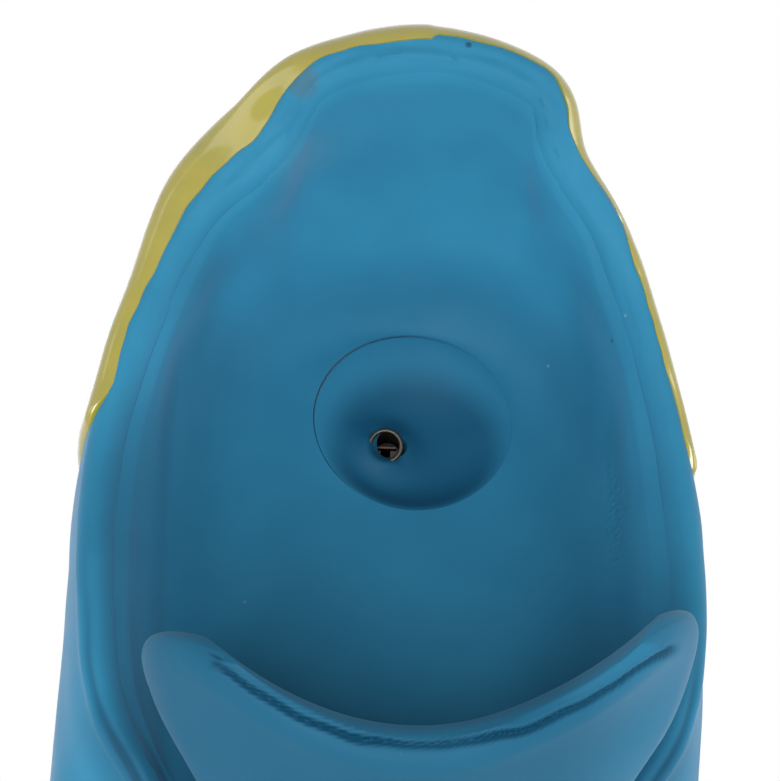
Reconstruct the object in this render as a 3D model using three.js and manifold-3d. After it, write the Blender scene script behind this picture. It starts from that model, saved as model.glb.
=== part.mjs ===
// Latex sneaker dog toy: a hollow blue latex skin, yellow coats and a reed squeaker in the pour hole.
// Millimetres, +Z up, heel towards +Y, toe towards -Y, origin on the floor under the middle of the sole.
import * as THREE from "three";
import { mergeVertices } from "three/addons/utils/BufferGeometryUtils.js";
import Module from "manifold-3d";

const wasm = await Module();
wasm.setup();

// Sole
const SOLE_LENGTH = 156;
const HEEL_WIDTH = 64;
const WAIST_WIDTH = 59;
const BALL_WIDTH = 70;
const OUTLINE_POWER = 2.8;
const SOLE_HEEL_HEIGHT = 20;
const SOLE_TOE_HEIGHT = 15;
const SOLE_ROUND = 3;
const TOE_SPRING = 5;
const SPRING_REACH = 40;
const TREAD_PITCH = 8;
const TREAD_WIDTH = 2.4;
const TREAD_DEPTH = 1.4;
const WELT_DEPTH = 2.2;
const WELT_ROUND = 1.6;
const UPPER_INSET = 0.9;

// Bulge of the upper's walls: how far they lean out over the welt and flare under the top edge
const HEEL_LEAN = 3.2;
const SIDE_LEAN = 2.4;
const TOE_LEAN = 5;
const HEEL_RISE = 20;
const SIDE_RISE = 16;
const TOE_RISE = 15;
const HEEL_FLARE = 4.4;
const SIDE_FLARE = 2.8;
const TOE_FLARE = 19;
const RIGHT_FLARE_SHARE = 0.25;
const HEEL_DROP = 19;
const SIDE_DROP = 15;
const TOE_DROP = 7;

// Latex skin
const WALL = 2;
const SOLE_WALL = 3.2;

// Top edge of the upper: heel tab, collar, throat
const TAB_HEIGHT = 87.5;
const TAB_WIDTH = 24.4;
const TAB_SIDE = 2.2;
const TAB_SETBACK = 11.5;
const COLLAR_HEIGHT = 66;
const COLLAR_WIDTH = 63.8;
const OPENING_LENGTH = 78;
const THROAT_LENGTH = 30;
const THROAT_HEIGHT = 51;
const TAB_RIM = 2.4;
const COLLAR_RIM = 1.8;
const THROAT_RIM = 1.6;
const LEFT_FILL = 3.3;
const LEFT_FILL_FROM_TAB = 26;
const LEFT_FILL_REACH = 10;
const RIGHT_FILL = -1.2;
const RIGHT_FILL_FROM_TAB = 40;
const RIGHT_FILL_REACH = 20;

// Tray in the foot opening, and the pour hole in it
const FLOOR_HEIGHT = 55;
const FLOOR_WIDTH = 49;
const FLOOR_LENGTH = 82.5;
const FLOOR_FROM_TAB = 16;
const HOLE_RADIUS = 11.2;
const HOLE_SIDE = 3;
const HOLE_FROM_TAB = 29.5;

// Tongue
const TONGUE_HEIGHT = 87.5;
const TONGUE_WIDTH = 54.8;
const TONGUE_FOOT_WIDTH = 17;
const TONGUE_THICKNESS = 5.4;
const TONGUE_LOBE = 8.5;
const TONGUE_SAG = 14;
const TONGUE_DIP = 4.5;
const TONGUE_YAW = 5.7;
const TONGUE_SIDE = 2.4;

// Yellow coats and laces
const COAT_THICKNESS = 0.5;
const COAT_GAP = 0.3;
const HEEL_COAT_REACH = 62;
const TOE_COAT_REACH = 46;
const TOE_COAT_RISE = 0.42;
const LACE_COUNT = 4;
const LACE_RADIUS = 1.7;
const LACE_PITCH = 4.8;
const LACE_START = 4.5;
const LACE_GAP = 0.3;

// Plug and squeaker
const PLUG_GAP = 0.3;
const PLUG_DISH = 3;
const PLUG_FLANGE = 2.4;
const PLUG_FLANGE_THICKNESS = 1.6;
const TUBE_RADIUS = 2;
const TUBE_WALL = 0.35;
const TUBE_LENGTH = 15;
const TUBE_STAND = 2.1;
const TUBE_LEAN = 22;
const TUBE_SWING = 6;
const TUBE_OFFSET_X = -3;
const TUBE_OFFSET_Y = -2.8;
const SLEEVE_WALL = 1.7;
const SLEEVE_LENGTH = 10;
const TUBE_GAP = 0.12;
const REED_WIDTH = 2.2;
const REED_THICKNESS = 0.2;
const REED_LENGTH = 10.8;
const REED_STROKE = 0.35;
const CLAMP_LENGTH = 3.4;
const CLAMP_GAP = 0.1;

// Facets
const SPOKES = 72;
const UPPER_STEPS = 9;
const TRAY_STEPS = 8;
const COAT_ENDS = 4;
const WELD = 0.01;

// Places that follow from the sizes
const heelEnd = SOLE_LENGTH / 2;
const tabY = heelEnd - TAB_SETBACK;
const tongueY = tabY - OPENING_LENGTH - 2;
const throatY = tabY - OPENING_LENGTH - THROAT_LENGTH;
const holeY = tabY - HOLE_FROM_TAB;
const plugRadius = HOLE_RADIUS - PLUG_GAP;

const mix = (a, b, t) => a + (b - a) * t;
const ease = (t) => {
  const c = Math.min(1, Math.max(0, t));
  return c * c * (3 - 2 * c);
};
const rad = (degrees) => degrees * Math.PI / 180;

// A value that eases from heel to side to toe, where share runs once round the shoe from the heel
const around = (share, heel, side, toe) => {
  const half = 1 - Math.abs(1 - 2 * share);
  return half < 0.5 ? mix(heel, side, ease(2 * half)) : mix(side, toe, ease(2 * half - 1));
};

// Plan of the sole: a blunt oval whose width eases from heel over waist to ball
class SoleOutline extends THREE.Curve {
  getPoint(t, target = new THREE.Vector3()) {
    const c = Math.cos(2 * Math.PI * t);
    const s = Math.sin(2 * Math.PI * t);
    const long = Math.sign(c) * Math.abs(c) ** (2 / OUTLINE_POWER);
    const rear = mix(WAIST_WIDTH, HEEL_WIDTH, ease((long - 0.1) / 0.45));
    const width = mix(BALL_WIDTH, rear, ease((long + 0.45) / 0.55));
    const side = Math.sign(s) * Math.abs(s) ** (2 / OUTLINE_POWER);
    return target.set(side * width / 2, long * SOLE_LENGTH / 2, 0);
  }
}

// Crest of the top edge, right half from the heel tab to the front of the throat
const sideY = (share) => tabY - OPENING_LENGTH * share;
const slope = (share) => mix(TAB_HEIGHT, COLLAR_HEIGHT, share);
const crestHalf = [
  [0, tabY, TAB_HEIGHT],
  [TAB_WIDTH / 2, tabY - 3, slope(0.07)],
  [TAB_WIDTH / 2 + 4.5, tabY - 8.5, slope(0.36)],
  [COLLAR_WIDTH / 2 - 8.3, sideY(0.185), slope(0.65)],
  [COLLAR_WIDTH / 2 - 3.3, sideY(0.34), slope(0.86)],
  [COLLAR_WIDTH / 2 - 0.3, sideY(0.52), COLLAR_HEIGHT - 0.5],
  [COLLAR_WIDTH / 2, sideY(0.72), COLLAR_HEIGHT],
  [COLLAR_WIDTH / 2 - 1.8, sideY(0.89), COLLAR_HEIGHT - 1],
  [COLLAR_WIDTH / 2 - 6.8, sideY(1), mix(COLLAR_HEIGHT, THROAT_HEIGHT, 0.27)],
  [COLLAR_WIDTH / 2 - 14, mix(sideY(1), throatY, 0.43), mix(COLLAR_HEIGHT, THROAT_HEIGHT, 0.6)],
  [COLLAR_WIDTH / 2 - 23.5, mix(sideY(1), throatY, 0.87), mix(COLLAR_HEIGHT, THROAT_HEIGHT, 0.92)],
  [0, throatY, THROAT_HEIGHT],
];
const tabLean = (z) => TAB_SIDE * ease((z - COLLAR_HEIGHT) / (TAB_HEIGHT - COLLAR_HEIGHT));
const crestPoints = [
  ...crestHalf.map(([x, y, z]) => new THREE.Vector3(tabLean(z) + x, y, z)),
  ...crestHalf.slice(1, -1).reverse().map(([x, y, z]) => new THREE.Vector3(tabLean(z) - x, y, z)),
];

const spaced = (curve) => {
  curve.arcLengthDivisions = 600;
  return curve.getSpacedPoints(SPOKES).slice(0, SPOKES);
};
const base = spaced(new SoleOutline());
const crest = spaced(new THREE.CatmullRomCurve3(crestPoints, true, "catmullrom", 0.5));
const wrap = (i) => (i + SPOKES) % SPOKES;

// Outward direction in plan at each point of a ring
const outward = (ring) => ring.map((_, i) => {
  const a = ring[wrap(i - 1)];
  const b = ring[wrap(i + 1)];
  return new THREE.Vector3(a.y - b.y, b.x - a.x, 0).normalize();
});
const baseOut = outward(base);
const crestOut = outward(crest);

const soleTop = (y) => mix(SOLE_TOE_HEIGHT, SOLE_HEEL_HEIGHT, ease(y / SOLE_LENGTH + 0.5));
const spring = (y) => TOE_SPRING * Math.max(0, (SPRING_REACH - heelEnd - y) / SPRING_REACH) ** 2;
const step = (p, out, distance, z) => p.clone().addScaledVector(out, distance).setZ(z);

// Rings of the outside, from the middle of the sole over the collar and down into the tray
const rings = [];
const addRing = (at) => {
  const ring = base.map((_, i) => at(i));
  ring.forEach((p) => {
    p.z += spring(p.y);
  });
  rings.push(ring);
  return rings.length - 1;
};

addRing((i) => step(base[i], baseOut[i], -SOLE_ROUND, 0).multiplyScalar(0.6));
for (const angle of [0, 45, 90]) {
  const inset = SOLE_ROUND * (1 - Math.sin(rad(angle)));
  const rise = SOLE_ROUND * (1 - Math.cos(rad(angle)));
  addRing((i) => step(base[i], baseOut[i], -inset, rise));
}
addRing((i) => step(base[i], baseOut[i], 0, soleTop(base[i].y) - WELT_ROUND));
addRing((i) => step(base[i], baseOut[i], -0.3 * WELT_ROUND, soleTop(base[i].y) - 0.3 * WELT_ROUND));
addRing((i) => step(base[i], baseOut[i], -WELT_DEPTH, soleTop(base[i].y)));

// Walls of the upper: one curve a spoke, bulged at the heel and sides, domed over the toe box
const rim = (i) => around(i / SPOKES, TAB_RIM, COLLAR_RIM, THROAT_RIM);
const crestRun = crest.map((p, i) => crest.slice(0, i).reduce((sum, q, j) => sum + q.distanceTo(crest[j + 1]), 0));
const crestLength = crestRun[SPOKES - 1] + crest[SPOKES - 1].distanceTo(crest[0]);
const tabFill = (i) => {
  const run = Math.min(crestRun[i], crestLength - crestRun[i]);
  return crest[i].x > TAB_SIDE
    ? RIGHT_FILL * Math.exp(-(((run - RIGHT_FILL_FROM_TAB) / RIGHT_FILL_REACH) ** 2))
    : LEFT_FILL * Math.exp(-(((run - LEFT_FILL_FROM_TAB) / LEFT_FILL_REACH) ** 2));
};
const walls = base.map((p, i) => {
  const share = i / SPOKES;
  const foot = step(p, baseOut[i], -UPPER_INSET, soleTop(p.y) + WELT_ROUND);
  const top = step(crest[i], crestOut[i], rim(i) + tabFill(i), crest[i].z - rim(i));
  const lean = around(share, HEEL_LEAN, SIDE_LEAN, TOE_LEAN);
  const rise = around(share, HEEL_RISE, SIDE_RISE, TOE_RISE);
  const right = Math.min(1, Math.max(0, 2 * crest[i].x / COLLAR_WIDTH));
  const part = mix(1, RIGHT_FLARE_SHARE, ease(right));
  const flare = around(share, part * HEEL_FLARE, part * SIDE_FLARE, TOE_FLARE);
  const drop = around(share, HEEL_DROP, SIDE_DROP, TOE_DROP);
  return new THREE.CubicBezierCurve3(
    foot,
    step(foot, baseOut[i], lean, foot.z + rise),
    step(top, baseOut[i], flare, top.z - drop),
    top,
  ).getPoints(UPPER_STEPS);
});
const wallFirst = rings.length;
for (let k = 0; k <= UPPER_STEPS; k += 1) {
  addRing((i) => walls[i][k].clone());
}
const wallLast = rings.length - 1;

// Rounded crest of the top edge
for (const angle of [45, 90, 135]) {
  const reach = Math.cos(rad(angle));
  const lift = Math.sin(rad(angle)) - 1;
  const wide = (i) => rim(i) + (reach > 0 ? tabFill(i) : 0);
  addRing((i) => step(crest[i], crestOut[i], wide(i) * reach, crest[i].z + rim(i) * lift));
}
const crestRing = rings.length - 2;

// Tray: from the crest down to the floor and in to the edge of the pour hole
const hole = base.map((_, i) => new THREE.Vector3(
  HOLE_SIDE + HOLE_RADIUS * Math.sin(2 * Math.PI * i / SPOKES),
  holeY + HOLE_RADIUS * Math.cos(2 * Math.PI * i / SPOKES),
  FLOOR_HEIGHT,
));
const floorMiddle = tabY - FLOOR_FROM_TAB - FLOOR_LENGTH / 2;
const oval = (angle) => Math.sign(angle) * Math.abs(angle) ** (2 / OUTLINE_POWER);
const corner = spaced(new THREE.CatmullRomCurve3(base.map((_, i) => new THREE.Vector3(
  oval(Math.sin(2 * Math.PI * i / SPOKES)) * FLOOR_WIDTH / 2,
  floorMiddle + oval(Math.cos(2 * Math.PI * i / SPOKES)) * FLOOR_LENGTH / 2,
  FLOOR_HEIGHT + 0.2,
)), true, "catmullrom", 0.5));
const trays = base.map((_, i) => {
  const top = step(crest[i], crestOut[i], -rim(i), crest[i].z - rim(i));
  const fall = around(i / SPOKES, 0.55, 0.7, 0.3) * (top.z - FLOOR_HEIGHT);
  const bend = top.clone().lerp(corner[i], 0.35).setZ(top.z - fall);
  return new THREE.CubicBezierCurve3(top, bend, corner[i], hole[i]).getPoints(TRAY_STEPS);
});
const trayFirst = rings.length;
for (let k = 0; k <= TRAY_STEPS; k += 1) {
  addRing((i) => trays[i][k].clone());
}
const trayLast = rings.length - 1;

// Direction out of the latex at a point of the ring grid
const normalAt = (k, i) => {
  const along = rings[k][wrap(i + 1)].clone().sub(rings[k][wrap(i - 1)]);
  const across = rings[k + 1][i].clone().sub(rings[k - 1][i]);
  return across.cross(along).normalize();
};

// Inside of the skin: under the tray, down the walls, over the sole
const inside = [hole.map((p) => p.clone().setZ(FLOOR_HEIGHT - WALL))];
const inset = (k) => rings[k].map((p, i) => p.clone().addScaledVector(normalAt(k, i), -WALL));
for (let k = trayLast - 1; k >= trayFirst + 2; k -= 1) {
  inside.push(inset(k));
}
for (let k = wallLast - 2; k > wallFirst; k -= 1) {
  inside.push(inset(k));
}
const within = (distance, height) => base.map((p, i) => {
  const q = step(p, baseOut[i], -distance, 0);
  return q.setZ(height(q.y) + spring(q.y));
});
inside.push(within(WELT_DEPTH + WALL, soleTop));
inside.push(within(WALL + 0.6, () => SOLE_WALL + SOLE_ROUND));
inside.push(within(WALL + SOLE_ROUND, () => SOLE_WALL));
inside.push(within(WALL + SOLE_ROUND, () => SOLE_WALL).map((p) => {
  const q = p.clone().multiplyScalar(0.5);
  return q.setZ(SOLE_WALL + spring(q.y));
}));

// Closed surface through rings of equal count, with a point at each end
const loft = (list, start, end) => {
  const count = list[0].length;
  const points = [start, ...list.flat(), end];
  const faces = [];
  const at = (k, i) => 1 + k * count + (i % count);
  for (let i = 0; i < count; i += 1) {
    faces.push(0, at(0, i), at(0, i + 1));
    faces.push(points.length - 1, at(list.length - 1, i + 1), at(list.length - 1, i));
    for (let k = 0; k + 1 < list.length; k += 1) {
      faces.push(at(k, i), at(k + 1, i), at(k + 1, i + 1));
      faces.push(at(k, i), at(k + 1, i + 1), at(k, i + 1));
    }
  }
  const geometry = new THREE.BufferGeometry().setFromPoints(points);
  geometry.setIndex(faces);
  return geometry;
};

// Closed surface between two grids of rows, such as the two faces of a sheet
const shell = (outer, inner) => {
  const loops = outer.map((row, k) => [...row, ...inner[k].slice().reverse()]);
  const count = loops[0].length;
  const last = loops.length - 1;
  const faces = [];
  const at = (k, j) => k * count + (j % count);
  for (let j = 0; j < count; j += 1) {
    for (let k = 0; k < last; k += 1) {
      faces.push(at(k, j), at(k + 1, j), at(k + 1, j + 1));
      faces.push(at(k, j), at(k + 1, j + 1), at(k, j + 1));
    }
  }
  for (let j = 0; j + 1 < count / 2; j += 1) {
    const back = count - 1 - j;
    faces.push(at(0, j), at(0, j + 1), at(0, back - 1));
    faces.push(at(0, j), at(0, back - 1), at(0, back));
    faces.push(at(last, j), at(last, back - 1), at(last, j + 1));
    faces.push(at(last, j), at(last, back), at(last, back - 1));
  }
  const geometry = new THREE.BufferGeometry().setFromPoints(loops.flat());
  geometry.setIndex(faces);
  return geometry;
};

// Solids for joining and cutting
const toSolid = (geometry) => {
  const bare = geometry.clone();
  bare.deleteAttribute("normal");
  bare.deleteAttribute("uv");
  const merged = mergeVertices(bare, 1e-4);
  return new wasm.Manifold(new wasm.Mesh({
    numProp: 3,
    vertProperties: new Float32Array(merged.attributes.position.array),
    triVerts: new Uint32Array(merged.index.array),
  }));
};
const toGeometry = (solid) => {
  const mesh = solid.simplify(WELD).getMesh();
  const geometry = new THREE.BufferGeometry();
  geometry.setAttribute("position", new THREE.BufferAttribute(new Float32Array(mesh.vertProperties), 3));
  geometry.setIndex(new THREE.BufferAttribute(new Uint32Array(mesh.triVerts), 1));
  return geometry;
};

// Tongue: a padded plate that rises from the throat, bends round the instep and ends in two lobes
const tongueLine = new THREE.QuadraticBezierCurve3(
  new THREE.Vector3(0, throatY + 5, THROAT_HEIGHT - 3),
  new THREE.Vector3(0, mix(throatY, tongueY, 0.86), mix(THROAT_HEIGHT, TONGUE_HEIGHT, 0.15)),
  new THREE.Vector3(0, tongueY, TONGUE_HEIGHT),
);
const tongueReach = tongueLine.getLength();
const tongueHalf = (v) => {
  const flared = mix(TONGUE_FOOT_WIDTH, TONGUE_WIDTH, ease(v / 0.92)) / 2;
  const lobe = Math.max(0, (v - 1 + TONGUE_LOBE / tongueReach) * tongueReach / TONGUE_LOBE);
  return flared - TONGUE_LOBE * (1 - Math.sqrt(1 - lobe * lobe));
};
const tonguePoint = (u, v, face) => {
  const x = u * tongueHalf(v);
  const along = v * (1 - TONGUE_DIP / tongueReach * (1 - u * u));
  const tangent = tongueLine.getTangentAt(along);
  const front = new THREE.Vector3(0, -tangent.z, tangent.y);
  const edge = TONGUE_THICKNESS / 2;
  const near = (distance) => Math.max(0, 1 - distance / edge);
  const toSide = (1 - Math.abs(u)) * tongueHalf(v);
  const fall = Math.max(near((1 - v) * tongueReach), near(v * tongueReach), near(toSide));
  const puff = edge * Math.sqrt(1 - fall * fall);
  const bend = TONGUE_SAG * (2 * x / TONGUE_WIDTH) ** 2;
  const p = tongueLine.getPointAt(along).addScaledVector(front, face * puff - bend).setX(x);
  const pivot = new THREE.Vector3(0, tongueY, 0);
  p.sub(pivot).applyAxisAngle(new THREE.Vector3(0, 0, 1), rad(TONGUE_YAW) * v).add(pivot);
  return p.setX(p.x + TONGUE_SIDE * v);
};
const TONGUE_ACROSS = 18;
const TONGUE_ALONG = 16;
const tongueFace = (face) => {
  const rows = [];
  for (let k = 0; k <= TONGUE_ALONG; k += 1) {
    const v = 0.5 - 0.5 * Math.cos(Math.PI * mix(0.04, 0.975, k / TONGUE_ALONG));
    const row = [];
    for (let j = 0; j <= TONGUE_ACROSS; j += 1) {
      row.push(tonguePoint(Math.sin(Math.PI * mix(-0.48, 0.48, j / TONGUE_ACROSS)), v, face));
    }
    rows.push(row);
  }
  return rows;
};
const tongue = toSolid(shell(tongueFace(-1), tongueFace(1)));

// Lace rows: round bars from eyestay to eyestay over the tongue, each bedded to half its depth
const laceCrown = (y, level) => {
  const crown = new THREE.Vector3(0, y, level);
  for (let v = 0.05; v < 0.95; v += 0.01) {
    const front = tonguePoint(0, v, 1);
    if (Math.abs(front.y - y) < 0.5) {
      crown.z = front.z;
    }
  }
  return crown;
};
const lacePath = (row) => {
  const y = throatY + LACE_START + row * LACE_PITCH;
  const i = crest.findIndex((p, j) => j > SPOKES / 4 && p.y < y);
  const share = (y - crest[i].y) / (crest[i - 1].y - crest[i].y);
  const edge = crest[i].clone().lerp(crest[i - 1], share);
  const low = walls[i][UPPER_STEPS - 1].clone().lerp(walls[i - 1][UPPER_STEPS - 1], share);
  const flip = (p) => new THREE.Vector3(-p.x, p.y, p.z);
  const crown = laceCrown(y, edge.z);
  return new THREE.CatmullRomCurve3([flip(low), flip(edge), crown, edge, low], false, "centripetal");
};
const laceBar = (row, radius) => {
  const section = new THREE.Shape().absarc(0, 0, radius, 0, 2 * Math.PI, false);
  return toSolid(new THREE.ExtrudeGeometry(section, {
    steps: 20,
    curveSegments: 5,
    extrudePath: lacePath(row),
  }));
};

// Tread: straight grooves across the flat of the sole
const treadGrooves = [];
const flatFront = SPRING_REACH - heelEnd;
for (let y = flatFront + TREAD_PITCH / 2; y < heelEnd - TREAD_PITCH; y += TREAD_PITCH) {
  const groove = new THREE.BoxGeometry(2 * BALL_WIDTH, TREAD_WIDTH, 2 * TREAD_DEPTH);
  treadGrooves.push(toSolid(groove.translate(0, y, 0)));
}

// The one-piece latex skin
const bottom = new THREE.Vector3(0, 0, 0);
const innerBottom = new THREE.Vector3(0, 0, SOLE_WALL);
let skin = toSolid(loft([...rings, ...inside], bottom, innerBottom)).add(tongue);
for (const groove of treadGrooves) {
  skin = skin.subtract(groove);
}
const laces = [];
for (let row = 0; row < LACE_COUNT; row += 1) {
  skin = skin.subtract(laceBar(row, LACE_RADIUS + LACE_GAP));
  laces.push(laceBar(row, LACE_RADIUS));
}

// Coats: thin shells that follow the rings of the upper, a hair off the skin
const onRing = (k, share, lift) => {
  const place = ((share % 1) + 1) % 1 * SPOKES;
  const i = Math.floor(place) % SPOKES;
  const part = place - Math.floor(place);
  const a = rings[k][i].clone().addScaledVector(normalAt(k, i), lift);
  const b = rings[k][wrap(i + 1)].clone().addScaledVector(normalAt(k, wrap(i + 1)), lift);
  return a.lerp(b, part);
};
const coat = (first, last, centre, reach) => {
  const spans = [];
  for (let k = first; k <= last; k += 1) {
    spans.push(reach(k));
  }
  const whole = Math.floor(Math.min(...spans) * SPOKES) - 1;
  const columns = 2 * whole + 2 * COAT_ENDS;
  const place = (j, span) => {
    const side = j - columns / 2;
    const past = Math.max(0, Math.abs(side) - whole) / COAT_ENDS;
    return Math.sign(side) * mix(Math.min(Math.abs(side), whole) / SPOKES, span, past);
  };
  const face = (lift) => {
    const rows = [];
    for (let k = first; k <= last; k += 1) {
      const row = [];
      for (let j = 0; j <= columns; j += 1) {
        row.push(onRing(k, centre + place(j, spans[k - first]), lift));
      }
      rows.push(row);
    }
    return rows;
  };
  const inner = face(COAT_GAP);
  const outer = face(COAT_GAP + COAT_THICKNESS);
  return shell(outer, inner);
};
const baseLength = base.reduce((sum, p, i) => sum + p.distanceTo(base[wrap(i + 1)]), 0);
const heelSpan = (k) => HEEL_COAT_REACH / crestLength * mix(0.72, 1, ease((k - wallFirst) / UPPER_STEPS));
const heelCoat = coat(wallFirst, crestRing, 0, heelSpan);
const toeTop = wallFirst + Math.round(TOE_COAT_RISE * UPPER_STEPS);
const toeSpan = (k) => TOE_COAT_REACH / baseLength * mix(1, 0.7, (k - wallFirst) / (toeTop - wallFirst));
const toeCoat = coat(wallFirst, toeTop, 0.5, toeSpan);

// Squeaker frame: local +Z points out of the mouth of the tube
const mouth = new THREE.Vector3(
  HOLE_SIDE + TUBE_OFFSET_X,
  holeY + TUBE_OFFSET_Y,
  FLOOR_HEIGHT - PLUG_DISH + TUBE_STAND,
);
const squeaker = new THREE.Matrix4().makeTranslation(mouth.x, mouth.y, mouth.z)
  .multiply(new THREE.Matrix4().makeRotationX(rad(TUBE_LEAN)))
  .multiply(new THREE.Matrix4().makeRotationY(rad(-TUBE_SWING)));
const inSqueaker = (geometry) => geometry.applyMatrix4(squeaker);

// A closed solid of revolution from a profile of radius and height
const turned = (profile, segments) => new THREE.LatheGeometry(
  profile.map(([r, z]) => new THREE.Vector2(r, z)),
  segments,
).rotateX(Math.PI / 2);

// Plug: dished disc in the hole, flange under the tray floor, sleeve round the tube
const plugUnder = -WALL - PLUG_GAP;
const plugFoot = plugUnder - PLUG_FLANGE_THICKNESS;
const plugDisc = turned([
  [0, plugFoot],
  [HOLE_RADIUS + PLUG_FLANGE, plugFoot],
  [HOLE_RADIUS + PLUG_FLANGE, plugUnder],
  [plugRadius, plugUnder],
  [plugRadius, -0.15],
  [plugRadius - 0.4, 0.1],
  [plugRadius * 0.88, -0.3 * PLUG_DISH],
  [plugRadius * 0.6, -0.8 * PLUG_DISH],
  [0, -PLUG_DISH],
], 48).translate(HOLE_SIDE, holeY, FLOOR_HEIGHT);
const sleeveRadius = TUBE_RADIUS + TUBE_GAP + SLEEVE_WALL;
const rod = (radius, from, to) => new THREE.CylinderGeometry(radius, radius, to - from, 24)
  .rotateX(Math.PI / 2)
  .translate(0, 0, (from + to) / 2);
const plug = toSolid(plugDisc)
  .add(toSolid(inSqueaker(rod(sleeveRadius, -SLEEVE_LENGTH, -0.4 * TUBE_STAND))))
  .subtract(toSolid(inSqueaker(rod(TUBE_RADIUS + TUBE_GAP, -2 * TUBE_LENGTH, TUBE_LENGTH))));

// Tube: thin drawn metal, open at both ends
const boreRadius = TUBE_RADIUS - TUBE_WALL;
const tube = inSqueaker(turned([
  [boreRadius, -TUBE_LENGTH],
  [TUBE_RADIUS, -TUBE_LENGTH],
  [TUBE_RADIUS, -0.3 * TUBE_WALL],
  [TUBE_RADIUS - 0.3 * TUBE_WALL, 0],
  [boreRadius, 0],
  [boreRadius, -TUBE_LENGTH],
], 24));

// Reed set: saddle with an air channel, strip clamped at its root by a wedge
const setRadius = boreRadius - TUBE_GAP;
const saddleTop = -REED_STROKE;
const padTop = -CLAMP_GAP;
const wedgeFoot = REED_THICKNESS + CLAMP_GAP;
const rootZ = -TUBE_LENGTH + 1.6;
const segment = (level, above, length) => {
  const edge = Math.asin(level / setRadius);
  const shape = new THREE.Shape();
  if (above) {
    shape.absarc(0, 0, setRadius, edge, Math.PI - edge, false);
  } else {
    shape.absarc(0, 0, setRadius, Math.PI - edge, 2 * Math.PI + edge, false);
  }
  shape.closePath();
  return new THREE.ExtrudeGeometry(shape, { depth: length, bevelEnabled: false, curveSegments: 10 });
};
const block = (wide, low, high, from, to) => new THREE.BoxGeometry(wide, high - low, to - from)
  .translate(0, (low + high) / 2, (from + to) / 2);
const saddleLength = REED_LENGTH + 0.8;
const saddle = toSolid(segment(saddleTop, false, saddleLength).translate(0, 0, rootZ))
  .add(toSolid(block(REED_WIDTH, saddleTop - 0.2, padTop, rootZ, rootZ + CLAMP_LENGTH)))
  .subtract(toSolid(block(0.5 * REED_WIDTH, -0.75 * setRadius, 0, rootZ + CLAMP_LENGTH + 0.6, 0)));
const wedge = segment(wedgeFoot, true, CLAMP_LENGTH).translate(0, 0, rootZ);
const reed = block(REED_WIDTH, 0, REED_THICKNESS, rootZ + 0.1, rootZ + 0.1 + REED_LENGTH);

// Finishes
const blueLatex = new THREE.MeshStandardMaterial({ color: "#2a6d93", roughness: 0.5, metalness: 0 });
const yellowLatex = new THREE.MeshStandardMaterial({ color: "#c9bb3c", roughness: 0.25, metalness: 0 });
const metalTube = new THREE.MeshStandardMaterial({ color: "#b9bdc0", roughness: 0.3, metalness: 1 });
const brassReed = new THREE.MeshStandardMaterial({ color: "#b08d4a", roughness: 0.35, metalness: 1 });
const whitePlastic = new THREE.MeshStandardMaterial({ color: "#d9d8d2", roughness: 0.5, metalness: 0 });

// Assembly
const toy = new THREE.Group();
toy.name = "latex_sneaker_toy";
const addPiece = (name, geometry, material) => {
  const mesh = new THREE.Mesh(geometry, material);
  mesh.name = name;
  toy.add(mesh);
};
addPiece("latex_body", toGeometry(skin), blueLatex);
addPiece("heel_counter_coat", heelCoat, yellowLatex);
addPiece("toe_bumper_coat", toeCoat, yellowLatex);
laces.forEach((lace, row) => addPiece(`lace_row_${row + 1}`, toGeometry(lace), yellowLatex));
addPiece("pour_hole_plug", toGeometry(plug), blueLatex);
addPiece("squeaker_tube", tube, metalTube);
addPiece("reed_saddle", inSqueaker(toGeometry(saddle)), whitePlastic);
addPiece("reed_wedge", inSqueaker(wedge), whitePlastic);
addPiece("squeaker_reed", inSqueaker(reed), brassReed);

export default toy;
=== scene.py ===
"""Latex sneaker dog toy: dresses the CAD frame with the moulded skin, coats, laces, plug and squeaker."""

import math

import bpy
import numpy as np
from bpy.props import FloatProperty, FloatVectorProperty, IntProperty, PointerProperty
from mathutils import Matrix, Vector


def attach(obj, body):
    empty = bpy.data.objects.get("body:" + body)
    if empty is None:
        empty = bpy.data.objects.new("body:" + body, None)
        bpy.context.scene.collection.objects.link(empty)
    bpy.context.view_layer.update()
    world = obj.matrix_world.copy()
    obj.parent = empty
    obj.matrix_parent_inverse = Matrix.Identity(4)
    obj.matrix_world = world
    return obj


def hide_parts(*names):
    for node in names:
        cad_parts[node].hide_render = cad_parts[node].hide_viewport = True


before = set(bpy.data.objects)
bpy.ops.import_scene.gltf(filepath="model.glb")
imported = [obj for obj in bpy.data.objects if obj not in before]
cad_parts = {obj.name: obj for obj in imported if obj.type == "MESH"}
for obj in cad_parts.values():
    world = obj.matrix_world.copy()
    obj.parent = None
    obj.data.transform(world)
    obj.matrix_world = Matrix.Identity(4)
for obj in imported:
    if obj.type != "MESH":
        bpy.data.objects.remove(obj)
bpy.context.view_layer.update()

bl_info = {
    "name": "Latex Sneaker Toy",
    "version": (1, 0, 0),
    "blender": (4, 5, 0),
    "location": "View3D > Sidebar > Toy",
    "description": "Builds the moulded skin, coats, laces, plug and squeaker of a latex sneaker dog toy",
    "category": "Object",
}

MM = 0.001

# Sizes shared with the solids, in millimetres
SOLE_LENGTH = 156.0
HEEL_WIDTH = 64.0
WAIST_WIDTH = 59.0
BALL_WIDTH = 70.0
OUTLINE_POWER = 2.8
SOLE_HEEL_HEIGHT = 20.0
SOLE_TOE_HEIGHT = 15.0
SOLE_ROUND = 3.0
TOE_SPRING = 5.0
SPRING_REACH = 40.0
TREAD_PITCH = 8.0
TREAD_WIDTH = 2.4
TREAD_DEPTH = 1.4
WELT_DEPTH = 2.2
WELT_ROUND = 1.6
UPPER_INSET = 0.9
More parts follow.
